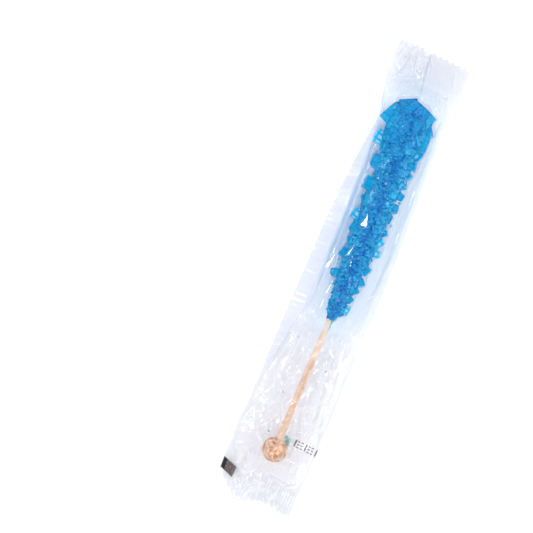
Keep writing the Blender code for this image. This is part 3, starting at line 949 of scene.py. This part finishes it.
def film_material(name, pack, haze_and_glow_colour, shine, roughness):
    """Clear film: see-through with a faint tint that is stronger in the seals and carries painted shade on creases and
    at the edges, with a haze that near the sugar is painted blue light from it, under a mirror share that grows with
    the angle of sight up to a limit."""
    material, tree = new_material(name)
    crinkle = use_group(tree, crinkle_group(), Looseness=attribute(tree, "loose"))["Height"]
    bump = add(tree, "ShaderNodeBump", {"Strength": 0.34, "Distance": 0.0006, "Height": crinkle}).outputs["Normal"]
    fresnel = add(tree, "ShaderNodeFresnel", {"IOR": 1.5, "Normal": bump}).outputs["Fac"]
    share = sum_of(tree, "MULTIPLY", fresnel, sum_of(tree, "MULTIPLY", attribute(tree, "gloss"), shine))
    share = sum_of(tree, "MINIMUM", share, 0.3)
    # The seal share also carries painted shade on the creases and at the film's edges.
    tint = blend(tree, attribute(tree, "seal"), tuple(pack.film_tint), tuple(pack.seal_tint))
    clear = add(tree, "ShaderNodeBsdfTransparent", {"Color": tint}).outputs[0]
    # Near the sugar this diffuse share is painted light: the blue that the sugar throws on the film.
    haze_and_glow_shader = add(tree, "ShaderNodeBsdfPrincipled", {
        "Base Color": tuple(haze_and_glow_colour), "Roughness": 0.5, "Normal": bump}).outputs[0]
    haze_and_glow_share = attribute(tree, "near")
    body = add(tree, "ShaderNodeMixShader", {0: haze_and_glow_share, 1: clear, 2: haze_and_glow_shader}).outputs[0]
    gloss = add(tree, "ShaderNodeBsdfGlossy", {
        "Color": (1.0, 1.0, 1.0, 1.0), "Roughness": roughness, "Normal": bump}).outputs[0]
    finish_material(tree, add(tree, "ShaderNodeMixShader", {0: share, 1: body, 2: gloss}).outputs[0])
    return material


def rim_shade_group():
    """Painted shade at the rim of each facet, for the dark edges that refraction gives clear sugar, on its own
    map: 1 on its edges, falling to 0 over a share of its width.
    """
    name = "facet_rim"
    if name in bpy.data.node_groups:
        return bpy.data.node_groups[name]
    group, given, out = group_of(name, [("Width", 0.15)], [("Rim", "NodeSocketFloat")])
    place = add(group, "ShaderNodeSeparateXYZ", {0: add(group, "ShaderNodeTexCoord").outputs["UV"]}).outputs
    nearest = None
    for way in ("X", "Y"):
        side = sum_of(group, "MINIMUM", place[way], sum_of(group, "SUBTRACT", 1.0, place[way]))
        nearest = side if nearest is None else sum_of(group, "MINIMUM", nearest, side)
    inwards = sum_of(group, "DIVIDE", nearest, given["Width"], clamp=True)
    group.links.new(sum_of(group, "SUBTRACT", 1.0, inwards), out["Rim"])
    return group


def crystal_material(name, pale, deep, rim, clearness, edge, width=0.18):
    """Clear dyed sugar: glass-like, its facets from pale to deep by their tone, which holds painted shade, and by
    faint clouds, each with a darker rim of painted shade for the refraction at its edges."""
    material, tree = new_material(name)
    mottle = use_group(tree, mottle_group(), Scale=1100.0, Grain=2600.0, Depth=0.15)
    clouds = sum_of(tree, "MULTIPLY", sum_of(tree, "SUBTRACT", mottle["Mottle"], 0.47), 2.4)
    value = sum_of(tree, "ADD", sum_of(tree, "MULTIPLY", attribute(tree, "tone_and_shade"), 0.9), clouds, clamp=True)
    rim_shade_share = sum_of(tree, "MULTIPLY", use_group(tree, rim_shade_group(), Width=width)["Rim"], edge)
    colour = blend(tree, rim_shade_share, ramp(tree, value, [(0.0, pale), (1.0, deep)]), tuple(rim))
    shader = add(tree, "ShaderNodeBsdfPrincipled", {
        "Base Color": colour, "Roughness": 0.08, "IOR": 1.54, "Specular IOR Level": 0.1,
        "Transmission Weight": clearness, "Normal": mottle["Normal"]})
    finish_material(tree, shader.outputs[0])
    return material


def core_material():
    """The blue mass under the crystals: cloudy and only a little glossy."""
    material, tree = new_material("sugar_mass")
    mottle = use_group(tree, mottle_group(), Scale=450.0, Grain=2200.0, Depth=0.4)
    colour = ramp(tree, mottle["Mottle"], [(0.3, (0.004, 0.13, 0.55)), (0.7, (0.01, 0.33, 0.85))])
    shader = add(tree, "ShaderNodeBsdfPrincipled", {
        "Base Color": colour, "Roughness": 0.35, "IOR": 1.54, "Normal": mottle["Normal"]})
    finish_material(tree, shader.outputs[0])
    return material


def wood_material(name, light, dark, stretch, contrast, streaked):
    """Birch: fibres, darker streaks, a few specks of blue-green dye, and where it is streaked darker fibres towards
    the ball and a dyed side next to the sugar."""
    material, tree = new_material(name)
    fibre = add(tree, "ShaderNodeTexNoise", {
        "Vector": object_place(tree, stretch), "Scale": 900.0, "Detail": 3.0}).outputs["Fac"]
    place = object_place(tree)
    patch = add(tree, "ShaderNodeTexNoise", {"Vector": place, "Scale": 260.0, "Detail": 2.0}).outputs["Fac"]
    value = sum_of(tree, "ADD", sum_of(tree, "MULTIPLY", fibre, 0.55), sum_of(tree, "MULTIPLY", patch, 0.45))
    if streaked:
        parts = add(tree, "ShaderNodeSeparateXYZ", {0: place}).outputs
        # Darker fibres from 35 mm below the origin on towards the ball.
        towards_ball = sum_of(tree, "MULTIPLY", sum_of(tree, "SUBTRACT", -0.0350, parts["Y"]), 25.0, clamp=True)
        value = sum_of(tree, "SUBTRACT", value, sum_of(tree, "MULTIPLY", towards_ball, 0.09))
    colour = ramp(tree, value, [(0.5 - contrast, dark), (0.5 + contrast, light)])
    specks = add(tree, "ShaderNodeTexVoronoi", {"Vector": place, "Scale": 130.0}).outputs["Distance"]
    dyed = ramp(tree, specks, [(0.05, (1.0, 1.0, 1.0)), (0.1, (0.0, 0.0, 0.0))])
    if streaked:
        along = sum_of(tree, "MULTIPLY", sum_of(tree, "SUBTRACT", parts["Y"], -0.0240), 700.0, clamp=True)
        aside = sum_of(tree, "MULTIPLY", sum_of(tree, "SUBTRACT", parts["X"], 0.0023), 1800.0, clamp=True)
        dyed = sum_of(tree, "MAXIMUM", dyed, sum_of(tree, "MULTIPLY", along, aside))
    bump = add(tree, "ShaderNodeBump", {"Strength": 0.3, "Distance": 0.0001, "Height": fibre}).outputs["Normal"]
    shader = add(tree, "ShaderNodeBsdfPrincipled", {
        "Base Color": blend(tree, dyed, colour, DYE), "Roughness": 0.55, "Normal": bump})
    finish_material(tree, shader.outputs[0])
    return material


def ink_material(name, solid_to):
    """Black print: solid up to a share of the piece's own map, and beyond it a fine uneven screen."""
    material, tree = new_material(name)
    mottle = use_group(tree, mottle_group(), Scale=1500.0, Grain=5200.0, Depth=0.1)
    screen = ramp(tree, mottle["Mottle"], [(0.38, (0.010, 0.008, 0.010)), (0.62, (0.20, 0.155, 0.15))])
    along = add(tree, "ShaderNodeTexCoord").outputs["UV"]
    along = add(tree, "ShaderNodeSeparateXYZ", {0: along}).outputs["X"]
    beyond = sum_of(tree, "GREATER_THAN", along, solid_to)
    colour = blend(tree, beyond, (0.012, 0.010, 0.014, 1.0), screen)
    shader = add(tree, "ShaderNodeBsdfPrincipled", {
        "Base Color": colour, "Roughness": 0.4, "Normal": mottle["Normal"]})
    finish_material(tree, shader.outputs[0])
    return material


def floor_material(colour, glow):
    """A plain pale studio floor, lit a little from within like a light table."""
    material, tree = new_material("studio_floor")
    shader = add(tree, "ShaderNodeBsdfPrincipled", {
        "Base Color": tuple(colour), "Roughness": 0.7, "Emission Color": tuple(colour), "Emission Strength": glow})
    finish_material(tree, shader.outputs[0])
    return material


# ---------------------------------------------------------------- pieces


def unit_map(rows, columns):
    """A plain unit map for a grid: columns across, rows along."""
    v, u = np.meshgrid(np.linspace(0.0, 1.0, rows), np.linspace(0.0, 1.0, columns), indexing="ij")
    return np.stack([u, v], -1)


def make_film(pack):
    """Front film, facing up, and back film, facing down."""
    quads = grid_quads(ROWS, COLUMNS)
    sheets = film_sheets()
    # The share of the seal tint: 0.19 more from the sugar's tip into the far seal, and painted shade along the side
    # edges, at the cut ends and on the creases.
    beside = 1.0 - np.abs(ACROSS)[None, :]
    seal = 0.19 * smooth_step((PLACES - 81.0) / 7.0)[:, None] + 0.1 * np.exp(-beside / 0.04)
    seal = seal + 0.3 * np.exp(-(TIP_END - np.abs(PLACES)) / 1.5)[:, None]
    seal = seal + np.where(PLACES > 0.0, 0.6, 0.4)[:, None] * sheets["crease_shade"]
    over = sheets["over_sugar"]
    flank = smooth_step((-4.5 - sheets["front"][..., 0]) / 1.5) * smooth_step((PLACES - 12.0) / 4.0)[:, None]
    gloss = 1.0 - np.maximum(0.84 * near_sugar(sheets["front"], 8.0), 0.8 * flank)
    gloss = gloss * (1.0 - 0.6 * np.exp(-((PLACES[:, None] - TIP_SEAL_EDGE + 0.5) / 2.0) ** 2))
    # Painted blue light from the sugar: the front film's milky share lightens the shade beside it, less on its left,
    # and the back film's blue share is strongest on its left.
    left_side = smooth_step((4.0 - sheets["back"][..., 0]) / 4.0)
    left_side = left_side * (smooth_step((78.0 - PLACES) / 18.0) * smooth_step((PLACES + 12.0) / 24.0))[:, None]
    values = {
        "loose": curve(LOOSENESS, PLACES)[:, None] * (1.0 - sheets["shining"]),
        "seal": np.clip(seal * (1.0 - over), 0.0, 1.0),
        "gloss": np.maximum(gloss, 2.2 * sheets["shining"]),
        "near": near_sugar(sheets["front"], 9.0) * (1.0 - over) * (0.3 - 0.14 * left_side),
    }
    front = film_material("clear_film_front", pack, pack.front_glow_colour, pack.shine, 0.08)
    new_piece("film_front", sheets["front"], [quads], front, uv=unit_map(ROWS, COLUMNS),
              values=values)
    values["near"] = near_sugar(sheets["back"], 7.0) * (0.12 + 0.5 * left_side)
    back = film_material("clear_film_back", pack, pack.haze_and_glow_colour, 0.7 * pack.shine, 0.12)
    new_piece("film_back", sheets["back"], [quads[:, ::-1]], back,
              uv=unit_map(ROWS, COLUMNS), values=values)


def make_strip(pack, name, points, near, seal):
    """A strip of pressed film, from its grid of points, with its share of haze and of the seals' tint."""
    rows, columns = points.shape[:2]
    shares = {"loose": 0.3, "seal": seal, "gloss": 0.4, "near": near}
    values = {label: np.full((rows, columns), share) for label, share in shares.items()}
    film = film_material(name + "_film", pack, pack.strip_colour, pack.shine, 0.1)
    quads = grid_quads(rows, columns)
    if points[0, 0, 0] > points[0, -1, 0]:
        quads = quads[:, ::-1]
    if points[0, 0, 1] > points[-1, 0, 1]:
        quads = quads[:, ::-1]
    new_piece(name, points, [quads], film, uv=unit_map(rows, columns), values=values)


def printed(corners, rows, columns):
    """Points of a patch of print on the front film: a four-cornered field, its corners given as X and Y."""
    u, v = np.meshgrid(np.linspace(0.0, 1.0, columns), np.linspace(0.0, 1.0, rows))
    a, b, c, d = (np.array(corner)[None, None] for corner in corners)
    u, v = u[..., None], v[..., None]
    flat = (a * (1 - u) + b * u) * (1 - v) + (d * (1 - u) + c * u) * v
    points = on_film("front", *film_shares(flat[..., 0], flat[..., 1]))
    points[..., 2] += PRINT_LIFT
    return points


def make_edge_mark(rows=15, columns=40):
    """The black edge mark on the seal below the ball, with one side cut as a comb."""
    u, v = np.meshgrid(np.linspace(0.0, 1.0, columns), np.linspace(0.0, 1.0, rows))
    points = printed([(-19.1, -96.8), (-13.0, -99.4), (-12.6, -94.4), (-19.2, -91.9)], rows, columns)
    points[:, -1, 0] += np.where(np.arange(rows) % 2, 0.3, 0.0)
    new_piece("edge_mark", points, [grid_quads(rows, columns)], ink_material("edge_mark_ink", 0.27),
              smooth=False, uv=np.stack([u, v], -1))


def make_code_dashes():
    """A row of seven plain marks beside the ball, each one upright dash or three level ones."""
    points, faces = [], []
    for k in range(7):
        x, y = 6.6 + 1.74 * k, -76.0 - 0.26 * k
        strokes = [(0.2, 0.0, 1.0, 0.45), (0.2, 1.3, 1.05, 0.45), (0.2, 2.6, 0.95, 0.45)]
        if k % 3 == 0:
            strokes = [(0.5, 0.0, 0.6, 3.05)]
        for aside, lift, wide, tall in strokes:
            low, high = np.array([x + aside, y + lift]), np.array([x + aside + 0.1 * tall, y + lift + tall])
            over = np.array([wide, -0.15 * wide])
            points.append(printed([low, low + over, high + over, high], 5, 5).reshape(-1, 3))
            faces.append(grid_quads(5, 5) + 25 * len(faces))
    points = np.concatenate(points)
    new_piece("code_dashes", points, [np.concatenate(faces)], ink_material("code_ink", 2.0),
              smooth=False, uv=points[:, :2])


def make_sugar_mass():
    """The blue mass under the crystals."""
    rings = core_points()
    rows, around = rings.shape[:2]
    points = np.concatenate([rings.reshape(-1, 3), rings[:1].mean(1), rings[-1:].mean(1)])
    new_piece("sugar_mass", points, tube_faces(rows, around), core_material())


def make_crystals(kind, name, material, window):
    """One kind of crystals as one piece."""
    points, own = crystals()[kind]
    new_piece(name, points, crystal_faces(len(points)), material, smooth=False,
              uv=crystal_map(len(points)), facets={"tone_and_shade": facet_tone_and_shade(61, points, window, own)})


# ---------------------------------------------------------------- stage


def camera_place(lean):
    """Where the camera stands, in metres, for a pack that leans to the right in its view."""
    right, up = Vector((math.cos(lean), math.sin(lean))), Vector((-math.sin(lean), math.cos(lean)))
    x, y = Vector(VIEW_POINT) - right * VIEW_ASIDE[0] - up * VIEW_ASIDE[1]
    return Vector((x * MM, y * MM, CAMERA_HEIGHT))


def make_floor(colour, glow):
    """A wide flat floor at the height that the pack lies on."""
    mesh = bpy.data.meshes.new("floor")
    mesh.from_pydata([(-3.0, -3.0, 0.0), (3.0, -3.0, 0.0), (3.0, 3.0, 0.0), (-3.0, 3.0, 0.0)], [], [(0, 1, 2, 3)])
    mesh.materials.append(floor_material(colour, glow))
    floor = bpy.data.objects.new("floor", mesh)
    bpy.context.scene.collection.objects.link(floor)


def make_sky(strength):
    """White surroundings like a light tent. What the film mirrors of it is dark straight overhead."""
    world = bpy.data.worlds.new("light_tent")
    world.use_nodes = True
    tree = world.node_tree
    direction = add(tree, "ShaderNodeTexCoord").outputs["Generated"]
    parts = add(tree, "ShaderNodeSeparateXYZ", {0: direction}).outputs
    tent = ramp(tree, parts["Z"], [(0.0, (0.9, 0.9, 0.92)), (0.68, (1.0, 1.0, 1.0)), (0.92, (0.08, 0.08, 0.09))])
    mirrored = add(tree, "ShaderNodeLightPath").outputs["Is Glossy Ray"]
    tent = blend(tree, mirrored, (1.0, 1.0, 1.0, 1.0), tent)
    tree.links.new(tent, tree.nodes["Background"].inputs["Color"])
    brighter = sum_of(tree, "MULTIPLY", sum_of(tree, "ADD", sum_of(tree, "MULTIPLY", parts["X"], 0.12), 1.0), strength)
    tree.links.new(brighter, tree.nodes["Background"].inputs["Strength"])
    bpy.context.scene.world = world


def make_lights():
    """Four narrow soft boxes about the pack, which the creases of the film catch."""
    for name, (place, size, power) in SOFT_BOXES.items():
        light = bpy.data.lights.new(name, "AREA")
        light.shape = "RECTANGLE"
        light.size, light.size_y = size
        light.energy = power
        lamp = bpy.data.objects.new(name, light)
        lamp.location = place
        lamp.rotation_euler = (-Vector(place)).to_track_quat("-Z", "Y").to_euler()
        bpy.context.scene.collection.objects.link(lamp)


def make_camera(lens, lean):
    """A camera that looks straight down, with the pack leaning to the right in its view."""
    camera = bpy.data.cameras.new("camera")
    camera.lens = lens
    camera.sensor_width = 36.0
    held = bpy.data.objects.new("camera", camera)
    held.location = camera_place(lean)
    held.rotation_euler = (0.0, 0.0, lean)
    bpy.context.scene.collection.objects.link(held)
    bpy.context.scene.camera = held
    bpy.context.scene.view_settings.view_transform = "Standard"


# ---------------------------------------------------------------- settings


def colour(name, description, default):
    """A colour that a user can change."""
    return bpy.props.FloatVectorProperty(
        name=name, description=description, default=(*default, 1.0), size=4, min=0.0, max=1.0, subtype="COLOR")


class CandyPackSettings(bpy.types.PropertyGroup):
    """The film of the pack."""
    shine: bpy.props.FloatProperty(
        name="Shine", description="How strongly the film mirrors, as a multiple of one surface's share",
        default=1.6, min=0.0, max=4.0, subtype="FACTOR")
    film_tint: colour("Film tint", "What one sheet of the tube lets through", (0.920, 0.923, 0.940))
    seal_tint: colour("Seal tint", "What one sheet of a pressed seal lets through", (0.832, 0.840, 0.866))
    # Front glow and haze below are painted light: the blue that the sugar throws on the film beside it.
    front_glow_colour: colour("Milk", "What the front film scatters beside the sugar", (0.68, 0.86, 1.0))
    strip_colour: colour("Strip", "What the doubled strips of film scatter", (0.52, 0.56, 0.74))
    haze_and_glow_colour: colour("Haze", "What the back film scatters beside the sugar", (0.20, 0.62, 1.0))


class CandySugarSettings(bpy.types.PropertyGroup):
    """The crystals."""
    # Pale and deep span the crust's own tone and its painted shade; edge is painted shade at the facets' rims.
    pale: colour("Pale", "Thin or outer facets of the crust", (0.03, 0.66, 1.0))
    deep: colour("Deep", "Facets deep in the crust", (0.02, 0.18, 0.69))
    edge: colour("Edge", "Edges of the crust's facets", (0.01, 0.17, 0.66))
    # Bright and shade are painted light and shade on flat and steep facets at the outline; outline is painted shade at
    # their rims.
    bright: colour("Bright", "Flat facets of the crystals at the outline", (0.01, 0.60, 1.0))
    shade: colour("Shade", "Steep facets of the crystals at the outline", (0.003, 0.36, 0.86))
    outline: colour("Outline", "Edges of the crystals at the outline", (0.001, 0.26, 0.68))
    # Painted light: the pale of the clear crystals, for the bright floor seen through them.
    window: colour("Window", "Facets that are looked through", (0.62, 0.87, 1.0))
    teal: colour("Teal crumbs", "Loose crumbs by the ball", (0.55, 0.88, 0.78))
    clearness: bpy.props.FloatProperty(
        name="Clearness", description="Share of light that goes into the crust's crystals",
        default=0.34, min=0.0, max=1.0, subtype="FACTOR")


class CandyStickSettings(bpy.types.PropertyGroup):
    """The stick and its ball."""
    stick_diameter: bpy.props.FloatProperty(
        name="Stick diameter", description="Diameter of the stick", default=0.0031, min=0.001, max=0.01,
        unit="LENGTH")
    ball_diameter: bpy.props.FloatProperty(
        name="Ball diameter", description="Diameter of the ball", default=0.0111, min=0.004, max=0.0115,
        unit="LENGTH")
    light_wood: colour("Light wood", "Light fibres of the stick", (0.94, 0.74, 0.60))
    dark_wood: colour("Dark wood", "Dark fibres of the stick", (0.74, 0.49, 0.34))
    light_ball: colour("Light ball", "Light wood of the ball", (0.82, 0.54, 0.38))
    dark_ball: colour("Dark ball", "Dark spots of the ball", (0.44, 0.20, 0.09))


class CandyStageSettings(bpy.types.PropertyGroup):
    """Floor, light and camera."""
    floor: colour("Floor", "Colour of the floor", (0.92, 0.92, 0.93))
    glow: bpy.props.FloatProperty(
        name="Glow", description="Light that the floor gives of its own", default=0.1, min=0.0, max=5.0)
    sky: bpy.props.FloatProperty(
        name="Sky", description="Brightness of the light tent", default=1.2, min=0.0, max=10.0)
    lens: bpy.props.FloatProperty(
        name="Lens", description="Focal length", default=120.0, min=20.0, max=400.0, unit="CAMERA")
    lean: bpy.props.FloatProperty(
        name="Lean", description="How far the pack leans to the right in view", default=LEAN,
        min=-math.pi, max=math.pi, unit="ROTATION")


# ---------------------------------------------------------------- operators


class CANDY_OT_stage(bpy.types.Operator):
    """Make the floor, the light tent, the soft boxes and the camera"""
    bl_idname = "candy.stage"
    bl_label = "Stage"

    def execute(self, context):
        stage = context.scene.candy_stage
        make_floor(stage.floor, stage.glow)
        make_sky(stage.sky)
        make_lights()
        make_camera(stage.lens, stage.lean)
        return {"FINISHED"}


class CANDY_OT_film(bpy.types.Operator):
    """Make the front and back film of the pack"""
    bl_idname = "candy.film"
    bl_label = "Film"

    def execute(self, context):
        make_film(context.scene.candy_pack)
        return {"FINISHED"}


class CANDY_OT_strips(bpy.types.Operator):
    """Make the lengthwise seal and the flap where it crosses the far end seal"""
    bl_idname = "candy.strips"
    bl_label = "Lengthwise seal"

    def execute(self, context):
        make_strip(context.scene.candy_pack, "lengthwise_seal", fin_points(), 0.5, 0.6)
        make_strip(context.scene.candy_pack, "seal_flap", fold_points(), 0.05, 0.3)
        return {"FINISHED"}


class CANDY_OT_print(bpy.types.Operator):
    """Make the black edge mark and the plain dashes"""
    bl_idname = "candy.print"
    bl_label = "Print"

    def execute(self, context):
        make_edge_mark()
        make_code_dashes()
        return {"FINISHED"}


class CANDY_OT_wood(bpy.types.Operator):
    """Make the stick and the ball at its end"""
    bl_idname = "candy.wood"
    bl_label = "Stick and ball"

    def execute(self, context):
        stick = context.scene.candy_stick
        wood = wood_material("birch_stick", stick.light_wood, stick.dark_wood, (1.0, 0.06, 1.0), 0.12, True)
        new_piece("stick", stick_points(stick.stick_diameter / MM), tube_faces(150, 32), wood)
        wood = wood_material("birch_ball", stick.light_ball, stick.dark_ball, (1.0, 0.8, 1.0), 0.08, False)
        new_piece("ball", ball_points(stick.ball_diameter / MM), tube_faces(72, 72), wood)
        return {"FINISHED"}


class CANDY_OT_mass(bpy.types.Operator):
    """Make the blue mass under the crystals"""
    bl_idname = "candy.mass"
    bl_label = "Sugar mass"

    def execute(self, context):
        make_sugar_mass()
        return {"FINISHED"}


class CANDY_OT_crystals(bpy.types.Operator):
    """Make the crystals of the crust, of its outline and of its head, and the loose crumbs"""
    bl_idname = "candy.crystals"
    bl_label = "Crystals and crumbs"

    def execute(self, context):
        sugar = context.scene.candy_sugar
        dense = crystal_material("blue_crystal", sugar.pale, sugar.deep, sugar.edge, sugar.clearness, 0.4)
        head = crystal_material("head_crystal", sugar.pale, sugar.deep, sugar.edge, sugar.clearness, 0.7, 0.08)
        outer = crystal_material("bright_crystal", sugar.bright, sugar.shade, sugar.outline, 0.4, 0.7)
        # Window crystals: a pale inside of painted light, for the floor seen through, in a frame of painted rim shade.
        clear = crystal_material("clear_crystal", sugar.window, sugar.bright, sugar.bright, 0.25, 1.8, 0.36)
        teal = crystal_material("teal_crumb", sugar.teal, (0.2, 0.62, 0.5), DYE, 0.3, 0.4)
        make_crystals("head", "head_crystals", head, 0.25)
        make_crystals("standing", "standing_crystals", outer, 0.5)
        make_crystals("window", "window_crystals", clear, 0.8)
        make_crystals("large", "crust_crystals", dense, 0.25)
        make_crystals("small", "fine_crystals", dense, 0.15)
        make_crystals("crumbs", "sugar_crumbs", dense, 0.1)
        make_crystals("teal", "teal_crumbs", teal, 0.1)
        return {"FINISHED"}


OPERATORS = (CANDY_OT_stage, CANDY_OT_film, CANDY_OT_strips, CANDY_OT_print, CANDY_OT_wood, CANDY_OT_mass,
             CANDY_OT_crystals)
SETTINGS = {
    "candy_pack": CandyPackSettings, "candy_sugar": CandySugarSettings, "candy_stick": CandyStickSettings,
    "candy_stage": CandyStageSettings,
}


class CANDY_PT_panel(bpy.types.Panel):
    """Sizes and colours of the wrapped candy stick, and a button for each group of pieces"""
    bl_label = "Wrapped candy stick"
    bl_idname = "CANDY_PT_panel"
    bl_space_type = "VIEW_3D"
    bl_region_type = "UI"
    bl_category = "Candy"

    def draw(self, context):
        for label, kind in SETTINGS.items():
            box = self.layout.box()
            for field in kind.__annotations__:
                box.prop(getattr(context.scene, label), field)
        for operator in OPERATORS:
            self.layout.operator(operator.bl_idname)


def register():
    """Registers the settings, the operators and the panel."""
    for label, kind in SETTINGS.items():
        bpy.utils.register_class(kind)
        setattr(bpy.types.Scene, label, bpy.props.PointerProperty(type=kind))
    for kind in (*OPERATORS, CANDY_PT_panel):
        bpy.utils.register_class(kind)


def unregister():
    """Takes them out again, in the opposite order."""
    for kind in (CANDY_PT_panel, *reversed(OPERATORS)):
        bpy.utils.unregister_class(kind)
    for label, kind in reversed(SETTINGS.items()):
        delattr(bpy.types.Scene, label)
        bpy.utils.unregister_class(kind)


def main():
    """Builds the stage and every piece."""
    register()
    bpy.ops.candy.stage()
    bpy.ops.candy.film()
    bpy.ops.candy.strips()
    bpy.ops.candy.print()
    bpy.ops.candy.wood()
    bpy.ops.candy.mass()
    bpy.ops.candy.crystals()


if __name__ == "__main__":
    main()
